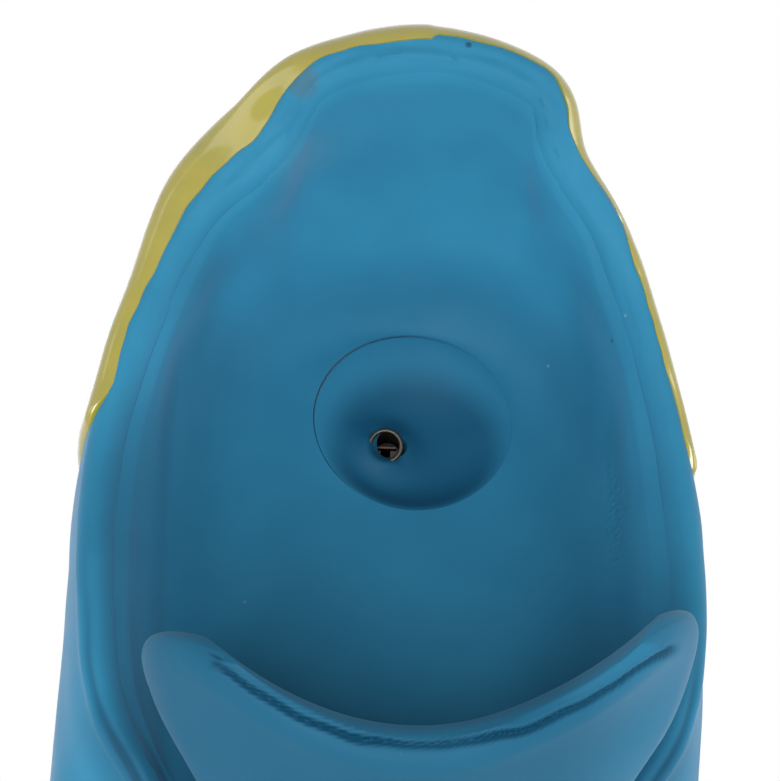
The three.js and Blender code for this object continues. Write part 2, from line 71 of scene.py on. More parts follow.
# Bulge of the walls at heel, side and toe
WALL_LEAN = (3.2, 2.4, 5.0)
WALL_RISE = (20.0, 16.0, 15.0)
WALL_FLARE = (4.4, 2.8, 19.0)
RIGHT_FLARE_SHARE = 0.25
WALL_DROP = (19.0, 15.0, 7.0)
WALL = 2.0
TAB_HEIGHT = 87.5
TAB_WIDTH = 24.4
TAB_SIDE = 2.2
TAB_SETBACK = 11.5
COLLAR_HEIGHT = 66.0
COLLAR_WIDTH = 63.8
OPENING_LENGTH = 78.0
THROAT_LENGTH = 30.0
THROAT_HEIGHT = 51.0
TAB_RIM = 2.4
COLLAR_RIM = 1.8
THROAT_RIM = 1.6
LEFT_FILL = 3.3
LEFT_FILL_FROM_TAB = 26.0
LEFT_FILL_REACH = 10.0
RIGHT_FILL = -1.2
RIGHT_FILL_FROM_TAB = 40.0
RIGHT_FILL_REACH = 20.0
FLOOR_HEIGHT = 55.0
FLOOR_WIDTH = 49.0
FLOOR_LENGTH = 82.5
FLOOR_FROM_TAB = 16.0
# How far the wall of the tray has fallen, and come in, where it bends to the floor
TRAY_FALL = (0.55, 0.7, 0.3)
TRAY_BEND = 0.35
HOLE_RADIUS = 11.2
HOLE_SIDE = 3.0
HOLE_FROM_TAB = 29.5
TONGUE_HEIGHT = 87.5
TONGUE_WIDTH = 54.8
TONGUE_FOOT_WIDTH = 17.0
TONGUE_THICKNESS = 5.4
TONGUE_LOBE = 8.5
TONGUE_SAG = 14.0
TONGUE_DIP = 4.5
TONGUE_YAW = 5.7
TONGUE_SIDE = 2.4
# Foot of the tongue inside the throat, its bend on the way up, and where its flare ends
TONGUE_FOOT = (5.0, -3.0)
TONGUE_BEND = (0.86, 0.15)
TONGUE_FLARE_END = 0.92
COAT_THICKNESS = 0.5
HEEL_COAT_REACH = 62.0
TOE_COAT_REACH = 46.0
TOE_COAT_RISE = 0.42
LACE_COUNT = 4
LACE_RADIUS = 1.7
LACE_PITCH = 4.8
LACE_START = 4.5
PLUG_DISH = 3.0
TUBE_RADIUS = 2.0
TUBE_WALL = 0.35
TUBE_LENGTH = 15.0
TUBE_STAND = 2.1
TUBE_LEAN = 22.0
TUBE_SWING = 6.0
TUBE_OFFSET_X = -3.0
TUBE_OFFSET_Y = -2.8

HEEL_END = SOLE_LENGTH / 2
TAB_Y = HEEL_END - TAB_SETBACK
TONGUE_Y = TAB_Y - OPENING_LENGTH - 2
THROAT_Y = TAB_Y - OPENING_LENGTH - THROAT_LENGTH
HOLE_Y = TAB_Y - HOLE_FROM_TAB
SPOKE = 1 / 72

UP = np.array([0.0, 0.0, 1.0])


def mix(a, b, t):
    return a + (b - a) * t


def ease(t):
    c = np.clip(t, 0, 1)
    return c * c * (3 - 2 * c)


def rising(value, start, over):
    """Eases from 0 at the start to 1 a given way past it."""
    return ease((value - start) / over)


def falling(value, end, over):
    """Eases from 1 a given way before the end to 0 at the end."""
    return ease((end - value) / over)


def bell(value, width):
    """1 at 0, and almost 0 from twice the width on."""
    return np.exp(-(value / width) ** 2)


def rounded(share):
    """Height of a quarter round: 0 at its foot (share 0), 1 at its top (share 1)."""
    return np.sqrt(1 - (1 - np.clip(share, 0, 1)) ** 2)


def around(share, heel, side, toe):
    """A value that eases from heel to side to toe, where share runs once round the shoe from the heel."""
    half = 1 - np.abs(1 - 2 * (share % 1))
    rear = mix(heel, side, ease(2 * half))
    return np.where(half < 0.5, rear, mix(side, toe, ease(2 * half - 1)))


def unit(v):
    return v / np.maximum(np.linalg.norm(v, axis=-1, keepdims=True), 1e-9)


class Ring:
    """A closed curve that is read by its share of the way round, measured along its length."""

    def __init__(self, points):
        self.points = np.vstack([points, points[:1]])
        steps = np.linalg.norm(np.diff(self.points, axis=0), axis=1)
        self.share = np.concatenate([[0], np.cumsum(steps)]) / steps.sum()
        self.length = steps.sum()

    def at(self, share):
        s = np.asarray(share) % 1
        return np.stack([np.interp(s, self.share, self.points[:, a]) for a in range(3)], axis=-1)

    def out(self, share):
        d = self.at(share + SPOKE) - self.at(share - SPOKE)
        return unit(np.stack([-d[..., 1], d[..., 0], 0 * d[..., 0]], axis=-1))


def sole_ring():
    t = np.linspace(0, 1, 6000, endpoint=False)
    c, s = np.cos(2 * np.pi * t), np.sin(2 * np.pi * t)
    run = np.sign(c) * np.abs(c) ** (2 / OUTLINE_POWER)
    rear = mix(WAIST_WIDTH, HEEL_WIDTH, rising(run, 0.1, 0.45))
    width = mix(BALL_WIDTH, rear, rising(run, -0.45, 0.55))
    side = np.sign(s) * np.abs(s) ** (2 / OUTLINE_POWER)
    return Ring(np.stack([side * width / 2, run * SOLE_LENGTH / 2, 0 * t], axis=-1))


def crest_ring():
    """Line of the top edge: heel tab, collar and throat."""
    def side_y(share):
        return TAB_Y - OPENING_LENGTH * share

    def slope(share):
        return mix(TAB_HEIGHT, COLLAR_HEIGHT, share)

    def throat(share):
        return mix(side_y(1), THROAT_Y, share)

    def fall(share):
        return mix(COLLAR_HEIGHT, THROAT_HEIGHT, share)

    half = COLLAR_WIDTH / 2
    right = np.array([
        [0, TAB_Y, TAB_HEIGHT],
        [TAB_WIDTH / 2, TAB_Y - 3, slope(0.07)],
        [TAB_WIDTH / 2 + 4.5, TAB_Y - 8.5, slope(0.36)],
        [half - 8.3, side_y(0.185), slope(0.65)],
        [half - 3.3, side_y(0.34), slope(0.86)],
        [half - 0.3, side_y(0.52), COLLAR_HEIGHT - 0.5],
        [half, side_y(0.72), COLLAR_HEIGHT],
        [half - 1.8, side_y(0.89), COLLAR_HEIGHT - 1],
        [half - 6.8, side_y(1), fall(0.27)],
        [half - 14, throat(0.43), fall(0.6)],
        [half - 23.5, throat(0.87), fall(0.92)],
        [0, THROAT_Y, THROAT_HEIGHT],
    ])
    left = right[-2:0:-1] * np.array([-1, 1, 1])
    loop = np.vstack([right, left])
    loop[:, 0] += TAB_SIDE * ease((loop[:, 2] - COLLAR_HEIGHT) / (TAB_HEIGHT - COLLAR_HEIGHT))
    return Ring(spline(loop, 200))


def floor_ring():
    """Where the wall of the tray turns into its floor."""
    t = np.linspace(0, 2 * np.pi, 6000, endpoint=False)
    c, s = (np.sign(f) * np.abs(f) ** (2 / OUTLINE_POWER) for f in (np.cos(t), np.sin(t)))
    middle = TAB_Y - FLOOR_FROM_TAB - FLOOR_LENGTH / 2
    x, y = s * FLOOR_WIDTH / 2, middle + c * FLOOR_LENGTH / 2
    return Ring(np.stack([x, y, FLOOR_HEIGHT + 0.2 + 0 * t], axis=-1))


def between(a, b, c, d, t):
    """Catmull-Rom curve from b to c."""
    square = a - 2.5 * b + 2 * c - 0.5 * d
    cube = -0.5 * a + 1.5 * b - 1.5 * c + 0.5 * d
    return b + 0.5 * t * (c - a) + t ** 2 * square + t ** 3 * cube


def spline(points, steps):
    """Closed uniform Catmull-Rom curve through the points."""
    t = (np.arange(steps) / steps)[:, None]
    n = len(points)
    return np.vstack([between(*(points[(i + k) % n] for k in (-1, 0, 1, 2)), t) for i in range(n)])


def bezier(a, b, c, d, t):
    t = np.asarray(t)[..., None]
    return (1 - t) ** 3 * a + 3 * t * (1 - t) ** 2 * b + 3 * t ** 2 * (1 - t) * c + t ** 3 * d


BASE = sole_ring()
CREST = crest_ring()
CORNER = floor_ring()


def sole_top(y):
    return mix(SOLE_TOE_HEIGHT, SOLE_HEEL_HEIGHT, ease(y / SOLE_LENGTH + 0.5))


def sprung(p):
    """Lifts the toe off the floor."""
    lift = TOE_SPRING * np.maximum(0, (SPRING_REACH - HEEL_END - p[..., 1]) / SPRING_REACH) ** 2
    return p + lift[..., None] * UP


def shifted(p, out, distance, z):
    q = p + out * np.asarray(distance)[..., None]
    q[..., 2] = z
    return q


def rim(share):
    return around(share, TAB_RIM, COLLAR_RIM, THROAT_RIM)


def tab_fill(share):
    """How much thicker the top edge is outside, where the collar climbs to the heel tab."""
    run = np.abs((share + 0.5) % 1 - 0.5) * CREST.length
    left = LEFT_FILL * bell(run - LEFT_FILL_FROM_TAB, LEFT_FILL_REACH)
    right = RIGHT_FILL * bell(run - RIGHT_FILL_FROM_TAB, RIGHT_FILL_REACH)
    return np.where(CREST.at(share)[..., 0] > TAB_SIDE, right, left)


def wall_flare(share):
    """How far the wall swells under the top edge, less on the right side."""
    right = ease(np.clip(2 * CREST.at(share)[..., 0] / COLLAR_WIDTH, 0, 1))
    part = 1 + (RIGHT_FLARE_SHARE - 1) * right
    heel, side, toe = WALL_FLARE
    return around(share, part * heel, part * side, toe)


def wall_point(share, t):
    """A point of the outer wall, from the welt (t 0) to the outer edge of the crest (t 1)."""
    p, out = BASE.at(share), BASE.out(share)
    c, c_out, r = CREST.at(share), CREST.out(share), rim(share)
    foot = shifted(p, out, -UPPER_INSET + 0 * r, sole_top(p[..., 1]) + WELT_ROUND)
    top = shifted(c, c_out, r + tab_fill(share), c[..., 2] - r)
    b = shifted(foot, out, around(share, *WALL_LEAN), foot[..., 2] + around(share, *WALL_RISE))
    d = shifted(top, out, wall_flare(share), top[..., 2] - around(share, *WALL_DROP))
    return bezier(foot, b, d, top, t)


def rim_point(share, angle):
    """A point of the rounded crest, from its outer edge (angle 0) to its inner edge (pi)."""
    c, out, r = CREST.at(share), CREST.out(share), rim(share)
    wide = r + np.where(angle < np.pi / 2, tab_fill(share), 0)
    return shifted(c, out, wide * np.cos(angle), c[..., 2] + r * (np.sin(angle) - 1))


def hole_point(share, radius):
    a = 2 * np.pi * share
    x, y = HOLE_SIDE + radius * np.sin(a), HOLE_Y + radius * np.cos(a)
    return np.stack([x, y, FLOOR_HEIGHT + 0 * a], axis=-1)


def tray_point(share, t):
    """A point of the tray, from the inner edge of the crest (t 0) to the pour hole (t 1)."""
    c, out, r = CREST.at(share), CREST.out(share), rim(share)
    top = shifted(c, out, -r, c[..., 2] - r)
    fall = around(share, *TRAY_FALL) * (top[..., 2] - FLOOR_HEIGHT)
    corner = CORNER.at(share)
    bend = mix(top, corner, TRAY_BEND)
    bend[..., 2] = top[..., 2] - fall
    return bezier(top, bend, corner, hole_point(share, HOLE_RADIUS + 0 * r), t)


def tongue_line():
    """Middle line of the tongue as y, z and length along it."""
    throat, tip = np.array([THROAT_Y, THROAT_HEIGHT]), np.array([TONGUE_Y, TONGUE_HEIGHT])
    foot = throat + TONGUE_FOOT
    bend = mix(throat, tip, np.array(TONGUE_BEND))
    t = np.linspace(0, 1, 2001)[:, None]
    line = (1 - t) ** 2 * foot + 2 * t * (1 - t) * bend + t ** 2 * tip
    steps = np.linalg.norm(np.diff(line, axis=0), axis=1)
    return line, np.concatenate([[0], np.cumsum(steps)])


TONGUE_LINE, TONGUE_RUN = tongue_line()


def tongue_half(v):
    flared = mix(TONGUE_FOOT_WIDTH, TONGUE_WIDTH, ease(v / TONGUE_FLARE_END)) / 2
    lobe = np.maximum(0, (v - 1) * TONGUE_RUN[-1] / TONGUE_LOBE + 1)
    return flared - TONGUE_LOBE * (1 - np.sqrt(1 - np.minimum(lobe, 1) ** 2))


def tongue_point(u, v, face):
    """A point of the tongue: u across from -1 to 1, v up from the throat, face 1 front and -1 back."""
    x = u * tongue_half(v)
    reach = TONGUE_RUN[-1]
    along = v * (1 - TONGUE_DIP / reach * (1 - u * u)) * reach
    y, z = (np.interp(along, TONGUE_RUN, TONGUE_LINE[:, a]) for a in (0, 1))
    slope = np.gradient(TONGUE_LINE, TONGUE_RUN, axis=0)
    ty, tz = (np.interp(along, TONGUE_RUN, slope[:, a]) for a in (0, 1))
    edge = TONGUE_THICKNESS / 2
    to_edge = ((1 - v) * reach, v * reach, (1 - np.abs(u)) * tongue_half(v))
    nearest = np.minimum.reduce(np.broadcast_arrays(*to_edge))
    push = face * edge * rounded(nearest / edge) - TONGUE_SAG * (2 * x / TONGUE_WIDTH) ** 2
    y, z = y - tz * push, z + ty * push
    turn = np.radians(TONGUE_YAW) * v
    dy = y - TONGUE_Y
    return np.stack([
        x * np.cos(turn) - dy * np.sin(turn) + TONGUE_SIDE * v,
        TONGUE_Y + x * np.sin(turn) + dy * np.cos(turn),
        z,
    ], axis=-1)


def grid_normals(grid):
    """Outward direction at each point of a grid of rings that run heel over +X, from sole to tray."""
    along = np.roll(grid, -1, axis=1) - np.roll(grid, 1, axis=1)
    across = np.gradient(grid, axis=0)
    return unit(np.cross(across, along))


# Meshes

SMOOTH_UP_TO = math.radians(55)
TREAD_SMOOTH_UP_TO = math.radians(40)
RIPPLE_WAVES = 12


def ripple(points, wavelength, seed):
    """Soft unevenness of about -1 to 1 at each point, with the wavelength in millimetres."""
    draw = np.random.default_rng(seed)
    heading = unit(draw.normal(size=(RIPPLE_WAVES, 3)))
    waves = heading * draw.uniform(0.7, 1.4, (RIPPLE_WAVES, 1)) * 2 * np.pi / wavelength
    return np.sin(points @ waves.T + draw.uniform(0, 2 * np.pi, RIPPLE_WAVES)).sum(-1) / 5


def new_piece(name, points, faces, material, slot, *nodes):
    """Makes a closed piece from points in millimetres that rides on the toy and stands for CAD nodes."""
    mesh = bpy.data.meshes.new(name)
    mesh.from_pydata((np.asarray(points) * MM).tolist(), [], faces)
    mesh.update()
    mesh.polygons.foreach_set("use_smooth", [True] * len(mesh.polygons))
    mesh.set_sharp_from_angle(angle=SMOOTH_UP_TO)
    mesh.materials.append(material)
    piece = bpy.data.objects.new(name, mesh)
    bpy.context.scene.collection.objects.link(piece)
    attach(piece, "toy")
    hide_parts(*nodes)
    return piece


def ring_faces(rows, count, poles=False, ends_meet=False):
    """Quads between closed rings of equal count, capped by two pole points or joined end to end."""
    i = np.arange(count)
    j = (i + 1) % count
    faces = []
    for k in range(rows if ends_meet else rows - 1):
        a, b = k * count, (k + 1) % rows * count
        faces += np.stack([a + i, b + i, b + j, a + j], axis=-1).tolist()
    if poles:
        last = (rows - 1) * count
        faces += np.stack([np.full(count, rows * count), i, j], axis=-1).tolist()
        faces += np.stack([np.full(count, rows * count + 1), last + j, last + i], axis=-1).tolist()
    return faces


def sheet_faces(rows, count):
    """Faces of a closed sheet whose rows are loops: out along one face and back along the other."""
    faces = ring_faces(rows, count)
    last = (rows - 1) * count
    for j in range(count // 2 - 1):
        back = count - 1 - j
        faces.append([j, j + 1, back - 1, back])
        faces.append([last + j, last + back, last + back - 1, last + j + 1])
    return faces


def turned_faces(profile, segments):
    """Points and faces of a closed profile of radius and height turned about Z."""
    a = np.arange(segments) / segments * 2 * np.pi
    rows = [np.stack([r * np.sin(a), r * np.cos(a), z + 0 * a], axis=-1) for r, z in profile]
    return np.array(rows), ring_faces(len(rows), segments, ends_meet=True)


# Materials

def srgb(code):
    """Linear colour of an sRGB hex code."""
    parts = [int(code[k:k + 2], 16) / 255 for k in (1, 3, 5)]
    return [p / 12.92 if p <= 0.04045 else ((p + 0.055) / 1.055) ** 2.4 for p in parts]


def add_node(tree, kind, sockets=None, **settings):
    """Adds a node with its settings; a socket takes a value or is linked from another node's output."""
    node = tree.nodes.new(kind)
    for key, value in settings.items():
        setattr(node, key, value)
    for socket, value in (sockets or {}).items():
        if isinstance(value, bpy.types.NodeSocket):
            tree.links.new(value, node.inputs[socket])
        else:
            node.inputs[socket].default_value = value
    return node


def new_material(name, **sockets):
    material = bpy.data.materials.new(name)
    material.use_nodes = True
    tree = material.node_tree
    shader = tree.nodes["Principled BSDF"]
    for socket, value in sockets.items():
        shader.inputs[socket.replace("_", " ")].default_value = value
    return material, tree, shader


def set_painted_shade(piece, share):
    """Stores at each point how much painted shade darkens the skin: 0 none, 1 darkest."""
    layer = piece.data.attributes.new("painted_shade_share", "FLOAT", "POINT")
    layer.data.foreach_set("value", np.clip(share, 0, 1).astype(np.float32).ravel())


def latex_blue(colours):
    """Natural rubber latex, dyed in the mass and slush moulded.

    It gives a satin skin with cloudy dye, painted shade darkening its tray, creases and gaps, pale dust,
    dark specks of painted shade for pits from the mould, and a pale bloom at a low angle.
    """
    material, tree, shader = new_material(
        "blue_latex_skin", Roughness=0.6, IOR=1.5, Specular_IOR_Level=0.2, Sheen_Roughness=0.5,
    )
    shader.inputs["Sheen Tint"].default_value = (*colours.bloom, 1)
    place = add_node(tree, "ShaderNodeTexCoord").outputs["Object"]
    # Cloudy dye, in patches about 14 mm wide
    cloud = add_node(tree, "ShaderNodeTexNoise", {"Vector": place, "Scale": 1 / 0.014, "Detail": 3})
    patch = add_node(
        tree, "ShaderNodeMapRange", {"Value": cloud.outputs["Fac"], "From Min": 0.35, "From Max": 0.65},
    )
    dye = add_node(tree, "ShaderNodeMix", {"Factor": patch.outputs["Result"]}, data_type="RGBA")
    dye.inputs["A"].default_value = (*colours.blue, 1)
    dye.inputs["B"].default_value = (*colours.blue_shade, 1)
    # Painted shade: the dye is mixed towards a deep blue by the share stored at each point
    painted_shade = add_node(tree, "ShaderNodeAttribute", attribute_name="painted_shade_share").outputs["Fac"]
    with_painted_shade = add_node(tree, "ShaderNodeMix", {"Factor": painted_shade}, data_type="RGBA")
    tree.links.new(dye.outputs["Result"], with_painted_shade.inputs["A"])
    with_painted_shade.inputs["B"].default_value = (*colours.blue_painted_shade, 1)
    colour = add_specks(tree, place, with_painted_shade.outputs["Result"])
    for x, y, z, radius, share, tint in STAINS_AND_SHADE:
        centre = (x * MM, y * MM, z * MM)
        colour = add_soft_mark(tree, place, colour, centre, radius * MM, share, srgb(tint))
    tree.links.new(colour, shader.inputs["Base Color"])
    # The painted shade also takes the bloom away where it darkens the skin
    film = add_node(tree, "ShaderNodeMapRange", {"Value": painted_shade, "To Min": BLOOM, "To Max": 0.0})
    tree.links.new(film.outputs["Result"], shader.inputs["Sheen Weight"])
    # Handling leaves the bloom a little uneven, in patches about 6 mm wide
    worn = add_node(tree, "ShaderNodeTexNoise", {"Vector": place, "Scale": 1 / 0.006, "Detail": 2})
    gloss = add_node(
        tree, "ShaderNodeMapRange", {"Value": worn.outputs["Fac"], "To Min": 0.55, "To Max": 0.72},
    )
    tree.links.new(gloss.outputs["Result"], shader.inputs["Roughness"])
    # Skin of the plaster mould: grain of 0.7 mm, drawn coarser than the real 0.2 mm so that it shows
    grain = add_node(tree, "ShaderNodeTexNoise", {"Vector": place, "Scale": 1 / 0.0007, "Detail": 2})
    fine = add_node(
        tree, "ShaderNodeBump", {"Height": grain.outputs["Fac"], "Strength": 0.12, "Distance": 0.00008},
    )
    tree.links.new(add_bubbles(tree, place, fine.outputs["Normal"]), shader.inputs["Normal"])
    return material


# Weight of the pale bloom on plain skin
BLOOM = 0.32
# Stains, a drop of yellow, and a dark dot of painted shade for a nick on the blue skin: x, y, z, radius in
# millimetres, share and colour
STAINS_AND_SHADE = [
    (-11.5, 62.5, 84.0, 2.6, 0.35, "#5a5a3a"),
    (27.4, 16.5, 57.0, 0.42, 0.95, "#a8b02c"),
    (-15.0, -17.0, 84.0, 3.2, 0.25, "#4c5a58"),
    (-9.0, 55.0, 77.0, 6.0, 0.12, "#7a9a98"),
    (6.1, 66.0, 87.4, 0.5, 0.7, "#0e3350"),
]
# Pale dust, and dark specks of painted shade for pits: spacing in metres, width as a share of it, share of
# the cells without one, and colour
SPECKS = ((0.0065, 0.02, 0.6, "#7aa6b4"), (0.0083, 0.022, 0.7, "#0e3350"))
SPECK_STRENGTH = 0.55
# Band of burst air bubbles low on the right wall of the tray, in millimetres, long in y
BUBBLE_BAND = (25.6, 27.0, 57.5)
BUBBLE_NARROW = (1, 0.16, 0.5)


def add_specks(tree, place, colour):
    """Pale dust, and dark specks of painted shade for pits, a few tenths of a millimetre wide and about 8 mm
    apart.
    """
    for spacing, width, bare, tint in SPECKS:
        cell = add_node(tree, "ShaderNodeTexVoronoi", {"Vector": place, "Scale": 1 / spacing})
        near = add_node(
            tree, "ShaderNodeMapRange",
            {
                "Value": cell.outputs["Distance"], "From Min": width, "From Max": width * 1.8,
                "To Min": SPECK_STRENGTH, "To Max": 0,
            },
        )
        pick = add_node(tree, "ShaderNodeSeparateColor", {"Color": cell.outputs["Color"]})
        some = add_node(tree, "ShaderNodeMath", {0: pick.outputs["Red"], 1: bare}, operation="GREATER_THAN")
        soft = add_node(
            tree, "ShaderNodeMath", {0: near.outputs["Result"], 1: some.outputs[0]}, operation="MULTIPLY",
        )
        mixed = add_node(tree, "ShaderNodeMix", {"Factor": soft.outputs[0]}, data_type="RGBA")
        tree.links.new(colour, mixed.inputs["A"])
        mixed.inputs["B"].default_value = (*srgb(tint), 1)
        colour = mixed.outputs["Result"]
    return colour


def add_soft_mark(tree, place, colour, centre, radius, share, tint):
    """A soft mark on the skin."""
    far = add_node(tree, "ShaderNodeVectorMath", {0: place, 1: centre}, operation="DISTANCE")
    near = add_node(
        tree, "ShaderNodeMapRange",
        {
            "Value": far.outputs["Value"], "From Min": radius * 0.4, "From Max": radius,
            "To Min": share, "To Max": 0,
        },
        interpolation_type="SMOOTHSTEP",
    )
    mixed = add_node(tree, "ShaderNodeMix", {"Factor": near.outputs["Result"]}, data_type="RGBA")
    tree.links.new(colour, mixed.inputs["A"])
    mixed.inputs["B"].default_value = (*tint, 1)
    return mixed.outputs["Result"]


def add_bubbles(tree, place, normal):
    """Burst air bubbles 0.6 mm wide in one band where the wall of the tray meets its floor."""
    x, y, z = (c * MM for c in BUBBLE_BAND)
    spread = add_node(tree, "ShaderNodeVectorMath", {0: place, 1: (x, y, z)}, operation="SUBTRACT")
    flat = add_node(
        tree, "ShaderNodeVectorMath", {0: spread.outputs[0], 1: BUBBLE_NARROW}, operation="MULTIPLY",
    )
    far = add_node(tree, "ShaderNodeVectorMath", {0: flat.outputs[0]}, operation="LENGTH")
    mask = add_node(
        tree, "ShaderNodeMapRange",
        {"Value": far.outputs["Value"], "From Min": 0.0006, "From Max": 0.0022, "To Min": 1, "To Max": 0},
    )
    cell = add_node(tree, "ShaderNodeTexVoronoi", {"Vector": place, "Scale": 1 / 0.0006})
    height = add_node(
        tree, "ShaderNodeMath", {0: cell.outputs["Distance"], 1: mask.outputs[0]}, operation="MULTIPLY",
    )
    bump = add_node(
        tree, "ShaderNodeBump",
        {"Height": height.outputs[0], "Strength": 0.7, "Distance": 0.00025, "Normal": normal},
    )
    return bump.outputs["Normal"]


def latex_yellow(colours):
    """Yellow latex brushed on as a wet coat and left unpowdered.

    It gives a thick glossy film that mirrors its surroundings, duller and greener where it is thin,
    and pale where it turns away from the eye.
    """
    material, tree, shader = new_material(
        "yellow_latex_brushed", Roughness=0.3, IOR=1.5, Coat_Weight=1.0, Coat_Roughness=0.12,
        Coat_IOR=1.6, Sheen_Weight=0.7, Sheen_Roughness=0.3,
    )
    place = add_node(tree, "ShaderNodeTexCoord").outputs["Object"]
    # Brush streaks about 5 mm long
    streak = add_node(tree, "ShaderNodeTexNoise", {"Vector": place, "Scale": 1 / 0.005, "Detail": 3})
    coat = add_node(
        tree, "ShaderNodeMapRange", {"Value": streak.outputs["Fac"], "From Min": 0.4, "From Max": 0.7},
    )
    film = add_node(tree, "ShaderNodeMix", {"Factor": coat.outputs["Result"]}, data_type="RGBA")
    film.inputs["A"].default_value = (*colours.yellow, 1)
    film.inputs["B"].default_value = (*colours.yellow_thin, 1)
    tree.links.new(film.outputs["Result"], shader.inputs["Base Color"])
    # The film flowed in waves about 3 mm wide before it set
    flow = add_node(tree, "ShaderNodeTexNoise", {"Vector": place, "Scale": 1 / 0.003, "Detail": 1})
    bump = add_node(
        tree, "ShaderNodeBump", {"Height": flow.outputs["Fac"], "Strength": 0.15, "Distance": 0.0002},
    )
    tree.links.new(bump.outputs["Normal"], shader.inputs["Normal"])
    return material


def mottled(tree, shader, colour, spacing, detail, darker, smooth, rough):
    """Gives a finish soft patches, spacing metres wide, that are darker and rougher."""
    place = add_node(tree, "ShaderNodeTexCoord").outputs["Object"]
    patch = add_node(tree, "ShaderNodeTexNoise", {"Vector": place, "Scale": 1 / spacing, "Detail": detail})
    tone = add_node(tree, "ShaderNodeMix", {"Factor": patch.outputs["Fac"]}, data_type="RGBA")
    tone.inputs["A"].default_value = (*colour, 1)
    tone.inputs["B"].default_value = (*[c * darker for c in colour], 1)
    tree.links.new(tone.outputs["Result"], shader.inputs["Base Color"])
    gloss = add_node(
        tree, "ShaderNodeMapRange", {"Value": patch.outputs["Fac"], "To Min": smooth, "To Max": rough},
    )
    tree.links.new(gloss.outputs["Result"], shader.inputs["Roughness"])


def drawn_metal(name, colour, spacing):
    """Thin drawn or rolled metal: a soft shine, dulled in spots by damp and handling."""
    material, tree, shader = new_material(name, Metallic=0.9)
    mottled(tree, shader, colour, spacing, 3, 0.7, 0.36, 0.52)
    return material


def moulded_polystyrene(colour):
    """Polystyrene from a small steel mould: smooth and hard, with faint flow marks 1.2 mm wide."""
    material, tree, shader = new_material("reed_polystyrene", IOR=1.59, Specular_IOR_Level=0.2)
    mottled(tree, shader, colour, 0.0012, 2, 0.75, 0.35, 0.5)
    return material


def material_of(name, make, *values):
    """The material of that name, made the first time it is asked for."""
    return bpy.data.materials.get(name) or make(*values)


# Settings that a user would change

class ToyForm(bpy.types.PropertyGroup):
    """Sizes of the moulded detail."""

    spokes: IntProperty(name="Spokes", description="Points round the shoe", default=720, min=72)
    skin_wave: FloatProperty(
        name="Skin unevenness", description="Height of the soft waves in the skin",
        default=0.00012, unit="LENGTH", subtype="DISTANCE",
    )
    flash_height: FloatProperty(
        name="Flash height", description="Height of the mould line inside the heel tab",
        default=0.0003, unit="LENGTH", subtype="DISTANCE",
    )
    groove_depth: FloatProperty(
        name="Groove depth", description="Depth of the stitched groove along the tongue",
        default=0.0006, unit="LENGTH", subtype="DISTANCE",
    )
    stitch_pitch: FloatProperty(
        name="Stitch pitch", description="Spacing of the moulded stitches on the tongue",
        default=0.0011, unit="LENGTH", subtype="DISTANCE",
    )
    coat_wave: FloatProperty(
        name="Coat edge", description="How far the brushed edge of the yellow coat wanders",
        default=0.0003, unit="LENGTH", subtype="DISTANCE",
    )
    lip_height: FloatProperty(
        name="Lip height", description="Height of the latex swelling round the squeaker tube",
        default=0.0011, unit="LENGTH", subtype="DISTANCE",
    )


class ToyColours(bpy.types.PropertyGroup):
    """Colours of the materials."""

    blue: FloatVectorProperty(
        name="Blue latex", description="Main colour of the skin", default=srgb("#2e88ae"), subtype="COLOR",
    )
    blue_shade: FloatVectorProperty(
        name="Blue latex, denser", description="Colour where the dye is denser",
        default=srgb("#297fa4"), subtype="COLOR",
    )
    # Colour of the painted shade in the tray, its creases and gaps, on the tongue and in the plug
    blue_painted_shade: FloatVectorProperty(
        name="Blue latex, pooled", description="Colour where the latex is thickest",
        default=srgb("#0b4b69"), subtype="COLOR",
    )
    bloom: FloatVectorProperty(
        name="Bloom", description="Pale film on the latex", default=srgb("#c4d4f0"), subtype="COLOR",
    )
    yellow: FloatVectorProperty(
        name="Yellow latex", description="Colour of the coats", default=srgb("#a4981c"), subtype="COLOR",
    )
    yellow_thin: FloatVectorProperty(
        name="Yellow latex, thin", description="Colour where the coat is thin",
        default=srgb("#9b9220"), subtype="COLOR",
    )
    # Dark grey, far below bright metal: the shade the mouth of the tube sits in is painted into its colour
    tube: FloatVectorProperty(
        name="Tube", description="Metal of the squeaker tube", default=srgb("#4a4640"), subtype="COLOR",
    )
    reed: FloatVectorProperty(
        name="Reed", description="Metal of the reed", default=srgb("#3f332b"), subtype="COLOR",
    )
    saddle: FloatVectorProperty(
        name="Reed set", description="Plastic that holds the reed", default=srgb("#100d0c"), subtype="COLOR",
    )
    floor: FloatVectorProperty(
        name="Floor", description="Floor of the studio", default=srgb("#f2f2f2"), subtype="COLOR",
    )


def skin_material(context):
    return material_of("blue_latex_skin", latex_blue, context.scene.toy_colours)


def coat_material(context):
    return material_of("yellow_latex_brushed", latex_yellow, context.scene.toy_colours)


# Upper. Sizes of its moulded detail are in millimetres

WALL_ROWS, RIM_ROWS, EDGE_ROWS, TRAY_ROWS = 70, 22, 40, 120
# Share of the way down the tray that has the closer rows
TRAY_EDGE = 0.16
CREASE_OUTSIDE, CREASE_WANDER, CREASE_WIDTH, CREASE_DEPTH = 0.8, 0.2, 0.6, 0.4
# Mould line inside the rim of the heel tab, and the shallow hollow outside it
FLASH_INSIDE, FLASH_WANDER, FLASH_WIDTH = 1.9, 0.35, 0.28
FLASH_BASE = 72.0
HOLLOW_OUTSIDE, HOLLOW_WIDTH, HOLLOW_DEPTH = 0.9, 0.7, 0.35
FILLET_SIDE, FILLET_MIDDLE, FILLET_WIDTH, FILLET_DEPTH = 24.6, 0.6, 1.5, 0.35
# The inner wall stands off the rounded edge from here on, by this much at the sides and on the tab
SOFT_FROM, SOFT_OVER, SOFT_SIDE, SOFT_TAB = 1.2, 4.5, 1.4, 0.9
# How much painted shade darkens each place, from 0 to 1
SHADE_WALL, SHADE_FLOOR, SHADE_SIDE, SHADE_FRONT, SHADE_GAP, SHADE_CREASE = 0.42, 0.47, 0.22, 0.25, 0.5, 0.6
SHADE_RIGHT_WALL_SHARE = 0.7


